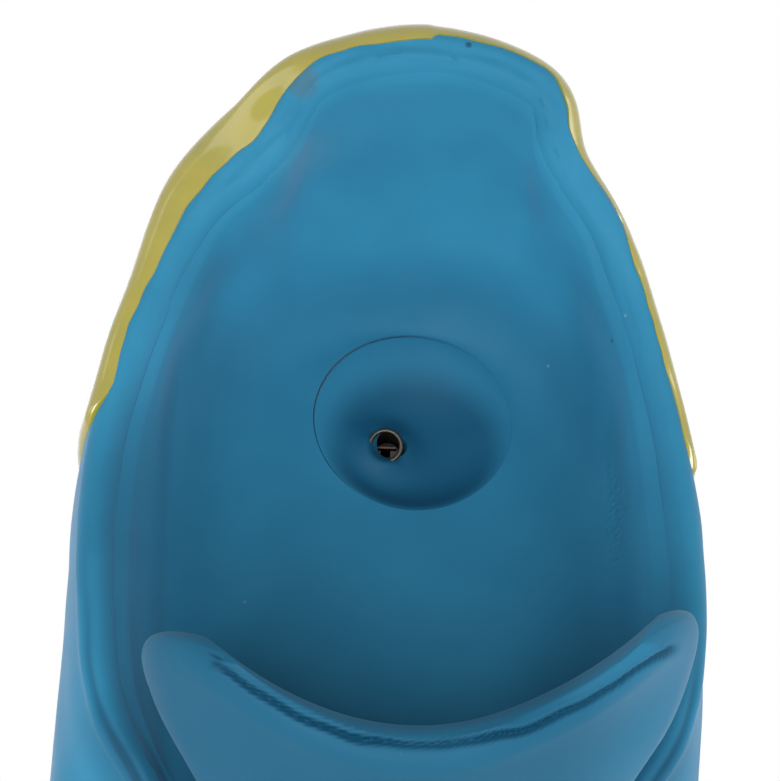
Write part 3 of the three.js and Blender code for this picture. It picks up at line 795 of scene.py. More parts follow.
def upper_rows(spokes):
    """Rings of the outside of the upper, from under the welt over the crest to the pour hole."""
    share = np.arange(spokes) / spokes
    flat = 0 * share
    base, out = BASE.at(share), BASE.out(share)
    top = sole_top(base[:, 1])
    rows = [shifted(base, out, -WELT_DEPTH - tuck + flat, top - tuck) for tuck in (2, 0)]
    rows += [wall_point(share, t + flat) for t in np.linspace(0, 1, WALL_ROWS)]
    rows += [rim_point(share, a + flat) for a in np.linspace(0, np.pi, RIM_ROWS)[1:-1]]
    near, far = np.linspace(0, TRAY_EDGE, EDGE_ROWS), np.linspace(TRAY_EDGE, 1, TRAY_ROWS)
    rows += [tray_point(share, t + flat) for t in np.concatenate([near, far[1:]])]
    return sprung(np.array(rows))


def past_crest(grid):
    """Millimetres from the line of the crest, more than 0 inside the tray."""
    run = np.cumsum(np.linalg.norm(np.diff(grid, axis=0, prepend=grid[:1]), axis=-1), axis=0)
    return run - run[np.argmax(grid[:, 0, 2])]


def collar_crease(grid):
    """Crease that follows the collar just outside its ridge, longer on the left side."""
    x, y, _ = np.moveaxis(grid, -1, 0)
    reach = np.where(x < 0, falling(y, 24, 30), falling(y, 8, 10))
    line = past_crest(grid) + CREASE_OUTSIDE + CREASE_WANDER * ripple(grid, 12, 8)
    return reach * bell(line, CREASE_WIDTH)


def skin_detail(grid, form):
    """Height to add to the upper: soft waves, the mould line on the tab, the fillet lines of the tray."""
    x, y, z = np.moveaxis(grid, -1, 0)
    past = past_crest(grid)
    height = (ripple(grid, 16, 3) + 0.5 * ripple(grid, 7, 4)) * form.skin_wave / MM
    # Mould line on the tab, broken by nicks
    line = past - FLASH_INSIDE - FLASH_WANDER * ripple(grid, 9, 5)
    on_tab = rising(z, FLASH_BASE, 6) * (y > 30)
    torn = 0.55 + 0.45 * ripple(grid, 2.6, 6)
    height += form.flash_height / MM * on_tab * torn * bell(line, FLASH_WIDTH)
    uneven = 0.6 + 0.6 * ripple(grid, 4.5, 7)
    height -= HOLLOW_DEPTH * on_tab * uneven * bell(line + HOLLOW_OUTSIDE, HOLLOW_WIDTH)
    # Fillet where the side walls of the tray meet its floor
    along = rising(y, -16, 12) * falling(y, 50, 14) * (z > FLOOR_HEIGHT - 3) * (line > 0)
    height -= FILLET_DEPTH * along * bell(np.abs(x - FILLET_MIDDLE) - FILLET_SIDE, FILLET_WIDTH)
    # The inner wall leaves the rounded edge softly, and slopes gently to the floor at the sides
    soft = rising(past, SOFT_FROM, SOFT_OVER)
    side = rising(np.abs(x), 12, 10) * rising(y, -30, 12) * falling(z, COLLAR_HEIGHT + 8, 8)
    height += SOFT_SIDE * side * soft * falling(past, 17, 11)
    height += SOFT_TAB * rising(z, COLLAR_HEIGHT, 8) * soft * falling(past, 18, 12)
    return height - CREASE_DEPTH * collar_crease(grid)


def painted_shade_on_upper(grid):
    """Painted shade: darker in the tray, more on its left wall and towards its front, in the gaps beside the
    tongue and in the crease of the collar.
    """
    x, y, z = np.moveaxis(grid, -1, 0)
    past = past_crest(grid)
    low = falling(z, COLLAR_HEIGHT + 8, 8)
    walls = SHADE_WALL * rising(past, -1.2, 3.6) * low * falling(y, 40, 16)
    walls = walls * np.where(x < 0, 1, SHADE_RIGHT_WALL_SHARE)
    floor = SHADE_FLOOR * falling(z, COLLAR_HEIGHT - 1, 8) * (past > 0)
    side = SHADE_SIDE * bell(np.abs(x) - 22, 5) * low * (past > 3)
    front = SHADE_FRONT * falling(y, -4, 14) * low * ease(past / 4)
    tray = (z > FLOOR_HEIGHT - 4) * (np.maximum(walls, floor) + side + front)
    gaps = SHADE_GAP * falling(y, -1, 8) * rising(past, -8, 6) * falling(past, 3, 3) * rising(z, 40, 8)
    return tray + gaps + SHADE_CREASE * collar_crease(grid)


class TOY_OT_upper(bpy.types.Operator):
    """Build the hollow moulded upper with its heel tab, collar and closed tray"""

    bl_idname = "toy.upper"
    bl_label = "Upper"

    def execute(self, context):
        form = context.scene.toy_form
        grid = upper_rows(form.spokes)
        normals = grid_normals(grid)
        outside = grid + normals * skin_detail(grid, form)[..., None]
        # The inside has fewer rows, and none at the crest, where a wall's thickness inward would fold over
        tray, wall = range(len(grid) - 4, 109, -6), (61, *range(58, 5, -8))
        inside = [grid[-1] - WALL * UP] + [grid[k] - WALL * normals[k] for k in (*tray, *wall)]
        inside = np.array(inside)
        rows = np.concatenate([outside, inside])
        upper = new_piece(
            "upper_skin", rows.reshape(-1, 3), ring_faces(len(rows), form.spokes, ends_meet=True),
            skin_material(context), "blue_latex", "latex_body",
        )
        # Painted shade on the outside of the upper, none on its hidden inside
        set_painted_shade(upper, np.concatenate([painted_shade_on_upper(grid), np.zeros(inside.shape[:2])]))
        return {"FINISHED"}


class TOY_OT_sole(bpy.types.Operator):
    """Build the sole with its rounded welt and straight tread grooves"""

    bl_idname = "toy.sole"
    bl_label = "Sole"

    def execute(self, context):
        spokes = context.scene.toy_form.spokes // 2
        share = np.arange(spokes) / spokes
        flat = 0 * share
        base, out = BASE.at(share), BASE.out(share)
        top = sole_top(base[:, 1])
        rows = [shifted(base, out, -SOLE_ROUND + flat, 0) * np.array([k, k, 1]) for k in (0.3, 0.6, 0.85)]
        for a in np.radians(np.linspace(0, 90, 9)):
            inset, up = SOLE_ROUND * (1 - np.sin(a)), SOLE_ROUND * (1 - np.cos(a))
            rows.append(shifted(base, out, -inset + flat, up))
        for share_up in np.linspace(0.1, 1, 8):
            rows.append(shifted(base, out, flat, mix(SOLE_ROUND, top - WELT_ROUND, share_up)))
        for a in np.radians(np.linspace(15, 90, 6)):
            inset, down = WELT_ROUND * (1 - np.cos(a)), WELT_ROUND * (1 - np.sin(a))
            rows.append(shifted(base, out, -inset + flat, top - down))
        # The top goes on under the upper, a little lower
        under = shifted(base, out, -WELT_DEPTH - 1 + flat, top - 0.3)
        rows += [under, under * np.array([0.5, 0.5, 1])]
        rows = sprung(np.array(rows))
        points = np.vstack([rows.reshape(-1, 3), [[0, 0, 0], [0, 0, sole_top(0.0)]]])
        sole = new_piece(
            "sole_unit", points, ring_faces(len(rows), spokes, poles=True),
            skin_material(context), "blue_latex", "latex_body",
        )
        front = SPRING_REACH - HEEL_END
        count = int((HEEL_END - TREAD_PITCH - front - TREAD_PITCH / 2) // TREAD_PITCH) + 1
        # One long box for each tread groove
        boxes, faces = [], []
        corners = np.array([[a, b, c] for a in (-1, 1) for b in (-1, 1) for c in (-1, 1)])
        sides = [(0, 1, 3, 2), (4, 6, 7, 5), (0, 4, 5, 1), (2, 3, 7, 6), (0, 2, 6, 4), (1, 5, 7, 3)]
        for k in range(count):
            centre = np.array([0, front + TREAD_PITCH * (k + 0.5), 0])
            faces += [[8 * k + v for v in side] for side in sides]
            boxes.append(centre + corners * np.array([BALL_WIDTH, TREAD_WIDTH / 2, TREAD_DEPTH]))
        cut_with(sole, np.vstack(boxes), faces)
        return {"FINISHED"}


def cut_with(piece, points, faces):
    """Cuts a closed mesh of points in millimetres out of a piece."""
    mesh = bpy.data.meshes.new("cutter")
    mesh.from_pydata((points * MM).tolist(), [], faces)
    cutter = bpy.data.objects.new("cutter", mesh)
    bpy.context.scene.collection.objects.link(cutter)
    cut = piece.modifiers.new("cut", "BOOLEAN")
    cut.object = cutter
    cut.operation = "DIFFERENCE"
    cut.solver = "EXACT"
    bpy.context.view_layer.update()
    result = bpy.data.meshes.new_from_object(piece.evaluated_get(bpy.context.evaluated_depsgraph_get()))
    piece.modifiers.clear()
    piece.data = result
    result.set_sharp_from_angle(angle=TREAD_SMOOTH_UP_TO)
    bpy.data.objects.remove(cutter)
    bpy.data.meshes.remove(mesh)


# Tongue, in millimetres

TONGUE_COLUMNS, TONGUE_ROWS = 320, 260
# How much fuller the lobes are than the solid: the right one all the way up, both near the top
RIGHT_LOBE, RIGHT_LOBE_TOP, LEFT_LOBE_TOP = 1.6, 1.3, 1.0
OUTLINE_BLEND = 0.8
EDGE_ROLL, EDGE_SHARE = 5.0, 0.7
# The roll above the groove is thin in the middle and widens to the lobes, most of all on the right
ROLL, ROLL_TO_RIGHT, ROLL_TO_LEFT, ROLL_POWER = 0.9, 2.5, 1.3, 1.3
GROOVE_WIDTH, GROOVE_END_RIGHT, GROOVE_END_LEFT = 0.42, 25.0, 23.0
PUCKER, PUCKER_ABOVE, PUCKER_WIDTH = 0.1, 0.8, 0.5
# Painted shade on the face of the tongue, and its lighter share towards the right lobe
TONGUE_SHADE, TONGUE_SHADE_RIGHT = 0.68, 0.33


def tongue_rows(form):
    """Front and back grids of the tongue, with the stitched groove pressed into the front."""
    u = np.sin(np.pi * np.linspace(-0.494, 0.494, TONGUE_COLUMNS))
    v = 0.5 - 0.5 * np.cos(np.pi * np.linspace(0.04, 0.992, TONGUE_ROWS))
    u, v = np.meshgrid(u, v)
    share = np.abs(u)
    right = rising(u, 0.3, 0.7) * (RIGHT_LOBE * ease(v / 0.5) + RIGHT_LOBE_TOP * bell(v - 0.72, 0.14))
    left = falling(u, -0.3, 0.7) * LEFT_LOBE_TOP * bell(v - 0.78, 0.13)
    fuller = np.stack([right - left, 0 * u, 0 * u], axis=-1)
    front, back = tongue_point(u, v, 1) + fuller, tongue_point(u, v, -1) + fuller
    run = np.cumsum(np.linalg.norm(np.diff(front, axis=1, prepend=front[:, :1]), axis=-1), axis=1)
    # Distance from the outline, round the lobes as well, so that the groove follows it
    steps = np.linalg.norm(np.diff(front, axis=0), axis=-1)
    below = np.vstack([np.cumsum(steps[::-1], axis=0)[::-1], np.zeros((1, TONGUE_COLUMNS))])
    below = below + np.linalg.norm(front[-1] - back[-1], axis=-1) / 2
    beside = (1 - share) * tongue_half(v) + TONGUE_THICKNESS / 3
    near = np.exp(-below / OUTLINE_BLEND) + np.exp(-beside / OUTLINE_BLEND)
    inset = -OUTLINE_BLEND * np.log(near)
    # The edge is rolled, so the pad thins softly towards it
    middle, half = (front + back) / 2, (front - back) / 2
    half = half * (EDGE_SHARE + (1 - EDGE_SHARE) * rounded(inset / EDGE_ROLL))[..., None]
    front, back = middle + half, middle - half
    stitch = 0.5 + 0.5 * np.cos(2 * np.pi * run * MM / form.stitch_pitch + 1.5 * ripple(front, 6, 12))
    roll = ROLL + share ** ROLL_POWER * np.where(u > 0, ROLL_TO_RIGHT, ROLL_TO_LEFT)
    past = inset - roll - 0.15 * ripple(front, 5, 11) + 0.25 * stitch
    end = np.where(u > 0, GROOVE_END_RIGHT, GROOVE_END_LEFT)
    ends = falling(np.abs(front[..., 0] - TONGUE_SIDE), end, 2.5) * rising(v, 0.6, 0.1)
    firm = 0.55 + 0.45 * rising(share, 0.1, 0.3)
    groove = bell(past, GROOVE_WIDTH) * firm * ends
    height = -form.groove_depth / MM * groove * (0.7 + 0.3 * stitch)
    # The stitches pull the rim above the groove into small puckers
    height += PUCKER * ends * stitch * bell(past + PUCKER_ABOVE, PUCKER_WIDTH)
    height += form.skin_wave / MM * ripple(front, 14, 13)
    # Painted shade: the tongue darker than the heel wall, lighter to the right, darker still in the groove
    plain = mix(TONGUE_SHADE, TONGUE_SHADE_RIGHT, rising(u, 0.45, 0.5))
    painted_shade_share = plain + np.where(u > 0, 1.3, 1.0) * groove
    return front + tongue_normals(front) * height[..., None], back, painted_shade_share, plain


def tongue_normals(grid):
    across = np.gradient(grid, axis=1)
    along = np.gradient(grid, axis=0)
    return unit(np.cross(across, along))


class TOY_OT_tongue(bpy.types.Operator):
    """Build the padded tongue with its two lobes and stitched groove"""

    bl_idname = "toy.tongue"
    bl_label = "Tongue"

    def execute(self, context):
        front, back, painted_shade_share, plain = tongue_rows(context.scene.toy_form)
        loops = np.concatenate([back, front[:, ::-1]], axis=1)
        rows, count = loops.shape[:2]
        tongue = new_piece(
            "tongue_pad", loops.reshape(-1, 3), sheet_faces(rows, count),
            skin_material(context), "blue_latex", "latex_body",
        )
        # Painted shade on both faces, darker in the groove on the front
        set_painted_shade(tongue, np.concatenate([plain, painted_shade_share[:, ::-1]], axis=1))
        return {"FINISHED"}


# Coats and laces, in millimetres

# Share of the height of a coat at which the wall turns into the rounded rim
COAT_TURN = 0.86
COAT_FAT = COAT_THICKNESS + 0.25
COAT_EDGE, COAT_DRAWN_OUT, COAT_SUNK = 1.3, 5.0, 0.15
# The solid of the heel coat is cut a little wider than the brushed coat shows
HEEL_BRUSHED_REACH = HEEL_COAT_REACH - 1.8
HEEL_FOOT_SHARE, HEEL_TIP_SHARE = 0.72, 0.075
# How far over the rim the heel coat goes, in radians: all round, more at the left and more on the tab
OVER_RIM, OVER_RIM_LEFT, OVER_RIM_TAB = math.radians(66), 0.24, 0.55
# On the tab the brush stopped with a step, right of the middle
STEP_X, STEP_WIDTH, STEP_FADE, STEP_DROP = 2.2, 0.35, 15.0, 0.3
LACE_POINTS, LACE_SIDES, LACE_END_POINTS = 160, 40, 6
# Moulded braid: shallow ribs that run round the bar
RIB_HEIGHT, RIB_PITCH = 0.018, 1.2


def outside_point(share, up, crown):
    """A point of the outside of the upper: up 0 at the welt, 1 at the crown angle of the crest."""
    wall = wall_point(share, np.minimum(up / COAT_TURN, 1))
    over = rim_point(share, crown * np.clip((up - COAT_TURN) / (1 - COAT_TURN), 0, 1))
    return sprung(np.where((up < COAT_TURN)[..., None], wall, over))


def coat_loops(centre, span, crown, top, columns, rows):
    """Loops of a brushed coat.

    span gives its half width as a share of the way round at each height, crown how far it goes over the
    rim and top how high it goes at each share.
    """
    up = (0.5 - 0.5 * np.cos(np.pi * np.linspace(0.0, 1, rows)))[:, None] + np.zeros((1, columns))
    side = np.sin(np.pi / 2 * np.linspace(-1, 1, columns))[None, :] + np.zeros((rows, 1))
    share = centre + side * span(up)
    grid = outside_point(share, up * top(share), crown(share))
    normals = unit(-np.cross(np.gradient(grid, axis=1), np.gradient(grid, axis=0)))
    across = np.linalg.norm(np.diff(grid, axis=1), axis=-1)
    from_left = np.hstack([np.zeros((rows, 1)), np.cumsum(across, axis=1)])
    upward = np.linalg.norm(np.diff(grid, axis=0), axis=-1)
    from_foot = np.vstack([np.zeros((1, columns)), np.cumsum(upward, axis=0)])
    edge = np.minimum(np.minimum(from_left, from_left[:, -1:] - from_left), from_foot)
    # The brush draws the upper edge out thin
    drawn_out = 0.1 + 0.9 * ease((from_foot[-1:] - from_foot) / COAT_DRAWN_OUT)
    fat = np.minimum(rounded(edge / COAT_EDGE), drawn_out)
    lift = COAT_FAT * (0.12 + 0.88 * fat) * (1 + 0.12 * ripple(grid, 11, 21))
    outer = grid + normals * lift[..., None]
    inner = grid - normals * COAT_SUNK
    return np.concatenate([outer, inner[:, ::-1]], axis=1)


class TOY_OT_coats(bpy.types.Operator):
    """Brush on the glossy yellow coats of the heel counter and the toe bumper"""

    bl_idname = "toy.coats"
    bl_label = "Yellow coats"

    def execute(self, context):
        wave = context.scene.toy_form.coat_wave / MM

        def heel_span(up):
            tip = np.clip((up - COAT_TURN) / (1 - COAT_TURN), 0, 1) ** 2.2
            widening = mix(HEEL_FOOT_SHARE, 1.0, ease(up / COAT_TURN))
            return HEEL_BRUSHED_REACH / CREST.length * widening * (1 - HEEL_TIP_SHARE * tip)

        def heel_crown(share):
            place = np.stack([share * CREST.length, 0 * share, 0 * share], axis=-1)
            wander = wave * (ripple(place, 13, 22) + 0.5 * ripple(place, 4, 23))
            wander = wander / (rim(share) + tab_fill(share))
            from_middle = ((share + 0.5) % 1 - 0.5) * CREST.length
            x = CREST.at(share)[..., 0]
            step = rising(x, STEP_X, STEP_WIDTH) * bell(x - STEP_X, STEP_FADE)
            over = OVER_RIM + OVER_RIM_LEFT * ease(-x / 16) + OVER_RIM_TAB * bell(from_middle, 11)
            return over + wander - STEP_DROP * step

        def full(share):
            return 1 + 0 * share

        loops = coat_loops(0.0, heel_span, heel_crown, full, columns=420, rows=110)
        new_piece(
            "heel_coat", loops.reshape(-1, 3), sheet_faces(*loops.shape[:2]),
            coat_material(context), "yellow_latex", "heel_counter_coat",
        )

        def toe_span(up):
            tip = np.clip((up - 0.8) / 0.2, 0, 1) ** 2
            return TOE_COAT_REACH / BASE.length * mix(1, 0.7, up) * (1 - 0.1 * tip)

        def toe_top(share):
            place = np.stack([share * BASE.length, 0 * share, 0 * share + 50], axis=-1)
            return COAT_TURN * TOE_COAT_RISE * (1 + 0.03 * ripple(place, 12, 24))

        loops = coat_loops(0.5, toe_span, full, toe_top, columns=240, rows=60)
        new_piece(
            "toe_coat", loops.reshape(-1, 3), sheet_faces(*loops.shape[:2]),
            coat_material(context), "yellow_latex", "toe_bumper_coat",
        )
        return {"FINISHED"}


def lace_path(row):
    """Line of one lace row: from low on one wall over the eyestays and the tongue to the other wall."""
    y = THROAT_Y + LACE_START + row * LACE_PITCH
    share = np.linspace(0.25, 0.5, 2000)
    s = share[np.argmin(np.abs(CREST.at(share)[:, 1] - y))]
    edge = CREST.at(s)
    low = wall_point(np.array([s]), np.array([8 / 9]))[0]
    v = np.linspace(0.05, 0.95, 400)
    line = tongue_point(0 * v, v, 1)
    near = np.argmin(np.abs(line[:, 1] - y))
    crown = np.array([0, y, line[near, 2] if abs(line[near, 1] - y) < 0.5 else edge[2]])
    flip = np.array([-1, 1, 1])
    return np.array([low * flip, edge * flip, crown, edge, low])


class TOY_OT_laces(bpy.types.Operator):
    """Lay the moulded lace rows across the tongue"""

    bl_idname = "toy.laces"
    bl_label = "Lace rows"

    def execute(self, context):
        turn = np.linspace(0, 2 * np.pi, LACE_SIDES, endpoint=False)
        step = np.arange(LACE_POINTS)
        end = np.minimum(step, LACE_POINTS - 1 - step) / LACE_END_POINTS
        radius = LACE_RADIUS * (0.25 + 0.75 * rounded(end))
        for row in range(LACE_COUNT):
            path = smooth_path(lace_path(row), LACE_POINTS)
            tangent = unit(np.gradient(path, axis=0))
            side = unit(np.cross(tangent, np.array([0, 1.0, 0.0]) + 0 * tangent))
            normal = np.cross(side, tangent)
            run = np.cumsum(np.linalg.norm(np.diff(path, axis=0, prepend=path[:1]), axis=1))
            rib = RIB_HEIGHT * np.cos(2 * np.pi * run[:, None] / RIB_PITCH + 2 * turn[None, :])
            out = np.cos(turn)[None, :, None] * side[:, None] + np.sin(turn)[None, :, None] * normal[:, None]
            rows = path[:, None] + (radius[:, None] * (1 + rib))[..., None] * out
            points = np.vstack([rows.reshape(-1, 3), path[:1], path[-1:]])
            new_piece(
                f"lace_{row + 1}", points, ring_faces(LACE_POINTS, LACE_SIDES, poles=True),
                coat_material(context), "yellow_latex", f"lace_row_{row + 1}",
            )
        return {"FINISHED"}


def smooth_path(points, count):
    """A smooth curve through a few points, evenly spaced."""
    n = len(points)
    ends = np.vstack([2 * points[0] - points[1], points, 2 * points[-1] - points[-2]])
    t = np.linspace(0, 1, 60)[:, None]
    line = np.vstack([between(*ends[i:i + 4], t) for i in range(n - 1)])
    run = np.concatenate([[0], np.cumsum(np.linalg.norm(np.diff(line, axis=0), axis=1))])
    at = np.linspace(0, run[-1], count)
    return np.stack([np.interp(at, run, line[:, k]) for k in range(3)], axis=-1)


# Plug and squeaker, in millimetres

PLUG_SIDES, PLUG_ROWS, TUBE_SIDES = 300, 90, 96
HOLE_CENTRE = np.array([HOLE_SIDE, HOLE_Y])
TUBE_CENTRE = HOLE_CENTRE + np.array([TUBE_OFFSET_X, TUBE_OFFSET_Y])
# The latex lip lies over the lower left of the tube's mouth and stands off it at the upper right
LIP_SHIFT, LIP_RADIUS = np.array([0.85, 0.72]), 1.75
SWELL_FROM_TUBE, SWELL_WIDTH = 2.2, 1.9
HOOD_SHARE, HOOD_FROM_TUBE, HOOD_WIDTH = 0.5, 2.0, 0.9
CREASE_ROUND_PLUG = 0.4
FLANGE, FLANGE_THICKNESS, FLANGE_GAP = 2.4, 1.6, 0.3
SLEEVE, SLEEVE_TOP, SLEEVE_FOOT, SLEEVE_GAP = 1.8, -6.0, -10.0, 0.02
# Painted shade of the plug's dish, at its edge and in its middle
PLUG_SHADE, PLUG_SHADE_MIDDLE = 0.45, 0.95
# The rolled mouth of the tube stands in over its bore by this much
ROLLED = 0.12


def squeaker_matrix():
    """Places the squeaker: local +Z points out of the mouth of the tube, in millimetres."""
    mouth = Vector((*TUBE_CENTRE, FLOOR_HEIGHT - PLUG_DISH + TUBE_STAND))
    lean = Matrix.Rotation(math.radians(TUBE_LEAN), 4, "X")
    swing = Matrix.Rotation(math.radians(-TUBE_SWING), 4, "Y")
    return np.array(Matrix.Translation(mouth) @ lean @ swing)


def in_squeaker(points):
    """Points of the squeaker's own frame, placed in the toy."""
    m = squeaker_matrix()
    return points @ m[:3, :3].T + m[:3, 3]


def plug_height(x, y, lip):
    """Top of the plug: a dish with a swelling of latex round the tube."""
    dx, dy = x - HOLE_SIDE, y - HOLE_Y
    r = np.hypot(dx, dy) / HOLE_RADIUS
    # The dish falls steeply at the front and gently at the back
    dish = -PLUG_DISH * (1 - ease(r ** (1.3 + 2.5 * ease(-dy / HOLE_RADIUS))))
    tx, ty = x - TUBE_CENTRE[0], y - TUBE_CENTRE[1]
    far = np.hypot(tx, ty)
    swell = lip * bell(far - SWELL_FROM_TUBE, SWELL_WIDTH)
    to_lower_left = ease((-tx - ty) / 3.0 + 0.3)
    hood = HOOD_SHARE * lip * bell(far - HOOD_FROM_TUBE, HOOD_WIDTH) * to_lower_left
    return FLOOR_HEIGHT + dish + swell + hood


class TOY_OT_plug(bpy.types.Operator):
    """Build the dished plug that closes the pour hole round the squeaker"""

    bl_idname = "toy.plug"
    bl_label = "Plug"

    def execute(self, context):
        form = context.scene.toy_form
        a = np.arange(PLUG_SIDES) / PLUG_SIDES * 2 * np.pi
        ring = np.stack([np.sin(a), np.cos(a)], axis=-1)
        # Round its edge the dish falls into a crease, deepest at the upper right
        uneven = 1 + 0.5 * ripple(np.column_stack([HOLE_RADIUS * ring, 0 * a]), 6, 31)
        crease = CREASE_ROUND_PLUG * ease(0.2 + 0.8 * np.cos(a + 1.1)) * uneven
        lip, rim_line = TUBE_CENTRE + LIP_SHIFT + ring * LIP_RADIUS, HOLE_CENTRE + ring * (HOLE_RADIUS - 0.01)
        rows = []
        for s in np.linspace(0, 1, PLUG_ROWS):
            flat = mix(lip, rim_line, s)
            z = plug_height(flat[:, 0], flat[:, 1], form.lip_height / MM)
            rows.append(np.column_stack([flat, z - rising(s, 0.975, 0.025) * crease]))
        # Below the floor of the tray: the flange, and the sleeve that holds the tube
        under, wide = FLOOR_HEIGHT - WALL - FLANGE_GAP, HOLE_RADIUS + FLANGE
        for radius, z in ((HOLE_RADIUS - FLANGE_GAP, under), (wide, under), (wide, under - FLANGE_THICKNESS)):
            rows.append(np.column_stack([HOLE_CENTRE + ring * radius, z + 0 * a]))
        outer, bore = TUBE_RADIUS + SLEEVE, TUBE_RADIUS + SLEEVE_GAP
        for radius, z in ((outer, SLEEVE_TOP), (outer, SLEEVE_FOOT), (bore, SLEEVE_FOOT), (bore, -2.0)):
            rows.append(in_squeaker(np.column_stack([ring * radius, z + 0 * a])))
        rows = np.array(rows)
        plug = new_piece(
            "plug_disc", rows.reshape(-1, 3), ring_faces(len(rows), PLUG_SIDES, ends_meet=True),
            skin_material(context), "blue_latex", "pour_hole_plug",
        )
        # Painted shade, darkest in the middle of the dish, a little towards the front
        dx, dy = rows[..., 0] - HOLE_SIDE, rows[..., 1] - HOLE_Y
        middle = falling(np.hypot(dx - 0.5, dy + 3.0) / HOLE_RADIUS, 1.05, 0.4)
        set_painted_shade(plug, mix(PLUG_SHADE, PLUG_SHADE_MIDDLE, middle))
        return {"FINISHED"}


class TOY_OT_squeaker(bpy.types.Operator):
    """Build the metal tube and finish the reed set in it"""

    bl_idname = "toy.squeaker"
    bl_label = "Squeaker"

    def execute(self, context):
        colours = context.scene.toy_colours
        bore = TUBE_RADIUS - TUBE_WALL
        lip = (TUBE_WALL + ROLLED) / 2
        turn = np.linspace(0, np.pi, 9)
        edge = [(bore - ROLLED + lip + lip * np.cos(t), lip * np.sin(t) - lip) for t in turn]
        heights = np.linspace(-TUBE_LENGTH + 0.4, -0.6, 12)
        profile = [(bore, -TUBE_LENGTH), (TUBE_RADIUS, -TUBE_LENGTH)]
        profile += [(TUBE_RADIUS, z) for z in heights] + edge + [(bore, z) for z in heights[::-1]]
        rows, faces = turned_faces(profile, TUBE_SIDES)
        # The tube's dark colour carries painted shade
        metal = material_of("tube_tinplate", drawn_metal, "tube_tinplate", colours.tube, 0.0015)
        new_piece("tube", in_squeaker(rows.reshape(-1, 3)), faces, metal, "metal_tube", "squeaker_tube")
        plastic = material_of("reed_polystyrene", moulded_polystyrene, colours.saddle)
        brass = material_of("reed_brass", drawn_metal, "reed_brass", colours.reed, 0.001)
        for node, finish in (("reed_saddle", plastic), ("reed_wedge", plastic), ("squeaker_reed", brass)):
            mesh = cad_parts[node].data
            mesh.materials.clear()
            mesh.materials.append(finish)
        return {"FINISHED"}


# Stage

FLOOR_RADIUS, FLOOR_SIDES, FLOOR_BELOW = 0.9, 96, 0.0001
ROOM_LIGHT = 0.15
# Name, place and size in metres, and power in watts
LAMPS = (
    ("key", (-0.3, -0.9, 1.25), 0.9, 21.5),
    ("right", (1.2, -0.1, 0.5), 0.8, 6.0),
    ("left", (-1.2, 0.1, 0.5), 0.8, 2.5),
)
LAMP_AIM = Vector((0, 0.02, 0.05))
# Lens as a focal length in pixels of the photograph, which is 780 pixels wide
FOCAL_PIXELS, PHOTO_PIXELS = 3600, 780
CAMERA_AIM, CAMERA_AWAY = Vector((0, 0.038, 0.060)), 0.4
CAMERA_TURN, CAMERA_RISE = math.radians(-9), math.radians(60)


def white_to_camera(tree, shader, kind):
    """Shows white to the camera, mirrors and glass, and the shader to all other light."""
    path = add_node(tree, "ShaderNodeLightPath").outputs
    seen = path["Is Camera Ray"]
    for ray in ("Is Glossy Ray", "Is Transmission Ray"):
        seen = add_node(tree, "ShaderNodeMath", {0: seen, 1: path[ray]}, operation="MAXIMUM").outputs[0]
    white = add_node(tree, kind, {"Color": (1, 1, 1, 1), "Strength": 1.0}).outputs[0]
    return add_node(tree, "ShaderNodeMixShader", {0: seen, 1: shader, 2: white}).outputs[0]


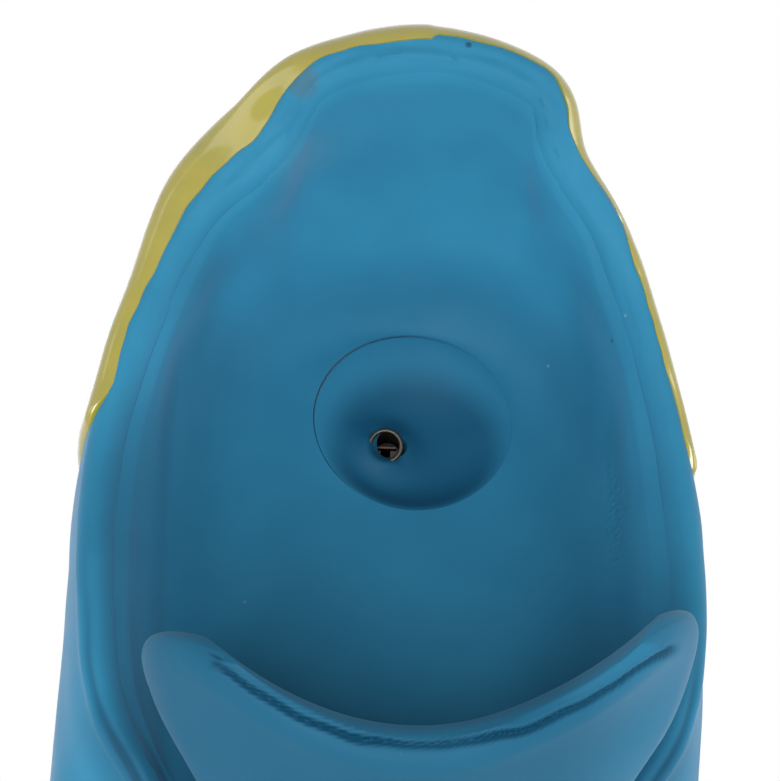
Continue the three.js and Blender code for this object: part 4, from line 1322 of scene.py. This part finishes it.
class TOY_OT_stage(bpy.types.Operator):
    """Set up the pale floor, the soft lamps, the white surroundings and the camera"""

    bl_idname = "toy.stage"
    bl_label = "Stage"

    def execute(self, context):
        scene = context.scene
        self.lay_floor(scene)
        self.set_lamps(scene)
        self.set_camera(scene)
        scene.view_settings.view_transform = "Standard"
        return {"FINISHED"}

    def lay_floor(self, scene):
        """A pale disc under the toy that the camera sees as white."""
        mesh = bpy.data.meshes.new("floor")
        a = np.arange(FLOOR_SIDES) / FLOOR_SIDES * 2 * np.pi
        disc = np.column_stack([FLOOR_RADIUS * np.cos(a), FLOOR_RADIUS * np.sin(a), 0 * a - FLOOR_BELOW])
        mesh.from_pydata(disc.tolist(), [], [list(range(FLOOR_SIDES))])
        floor = bpy.data.objects.new("floor", mesh)
        scene.collection.objects.link(floor)
        material, tree, shader = new_material("painted_floor", Roughness=0.9)
        shader.inputs["Base Color"].default_value = (*scene.toy_colours.floor, 1)
        seen = white_to_camera(tree, shader.outputs[0], "ShaderNodeEmission")
        # From below the floor is clear, so that the sole can be looked at
        under = add_node(tree, "ShaderNodeNewGeometry").outputs["Backfacing"]
        clear = add_node(tree, "ShaderNodeBsdfTransparent").outputs[0]
        both = add_node(tree, "ShaderNodeMixShader", {0: under, 1: seen, 2: clear})
        tree.links.new(both.outputs[0], tree.nodes["Material Output"].inputs["Surface"])
        mesh.materials.append(material)

    def set_lamps(self, scene):
        """Three soft lamps in a dim room that the camera sees as white."""
        for name, place, size, power in LAMPS:
            light = bpy.data.lights.new(name, "AREA")
            light.energy, light.size = power, size
            lamp = bpy.data.objects.new(name, light)
            lamp.location = place
            lamp.rotation_euler = (Vector(place) - LAMP_AIM).to_track_quat("Z", "Y").to_euler()
            scene.collection.objects.link(lamp)
        world = bpy.data.worlds.new("white_room")
        scene.world = world
        world.use_nodes = True
        tree = world.node_tree
        room = tree.nodes["Background"]
        room.inputs["Color"].default_value = (1, 1, 1, 1)
        room.inputs["Strength"].default_value = ROOM_LIGHT
        seen = white_to_camera(tree, room.outputs[0], "ShaderNodeBackground")
        tree.links.new(seen, tree.nodes["World Output"].inputs["Surface"])

    def set_camera(self, scene):
        """Looks down at the tray from over the toe, 60 degrees above the floor and a little to the left."""
        data = bpy.data.cameras.new("camera")
        data.sensor_fit = "HORIZONTAL"
        data.sensor_width = 36
        data.lens = FOCAL_PIXELS / PHOTO_PIXELS * data.sensor_width
        level = math.cos(CAMERA_RISE)
        back = Vector((
            math.sin(CAMERA_TURN) * level, -math.cos(CAMERA_TURN) * level, math.sin(CAMERA_RISE),
        ))
        right = Vector((0, 1, 0)).cross(back).normalized()
        turn = Matrix((right, back.cross(right), back)).transposed().to_4x4()
        camera = bpy.data.objects.new("camera", data)
        camera.matrix_world = Matrix.Translation(CAMERA_AIM + back * CAMERA_AWAY) @ turn
        scene.collection.objects.link(camera)
        scene.camera = camera


class TOY_PT_panel(bpy.types.Panel):
    """Lists the pieces of the toy and their settings"""

    bl_idname = "TOY_PT_panel"
    bl_label = "Latex sneaker toy"
    bl_space_type = "VIEW_3D"
    bl_region_type = "UI"
    bl_category = "Toy"

    def draw(self, context):
        for group in (context.scene.toy_form, context.scene.toy_colours):
            for name in group.__annotations__:
                self.layout.prop(group, name)
        for step in STEPS:
            self.layout.operator(step.bl_idname)


STEPS = (
    TOY_OT_stage, TOY_OT_upper, TOY_OT_sole, TOY_OT_tongue,
    TOY_OT_coats, TOY_OT_laces, TOY_OT_plug, TOY_OT_squeaker,
)
CLASSES = (ToyForm, ToyColours, *STEPS, TOY_PT_panel)


def register():
    for cls in CLASSES:
        bpy.utils.register_class(cls)
    bpy.types.Scene.toy_form = PointerProperty(type=ToyForm)
    bpy.types.Scene.toy_colours = PointerProperty(type=ToyColours)


def unregister():
    del bpy.types.Scene.toy_colours
    del bpy.types.Scene.toy_form
    for cls in reversed(CLASSES):
        bpy.utils.unregister_class(cls)


def main():
    register()
    for step in STEPS:
        group, name = step.bl_idname.split(".")
        getattr(getattr(bpy.ops, group), name)()


if __name__ == "__main__":
    main()
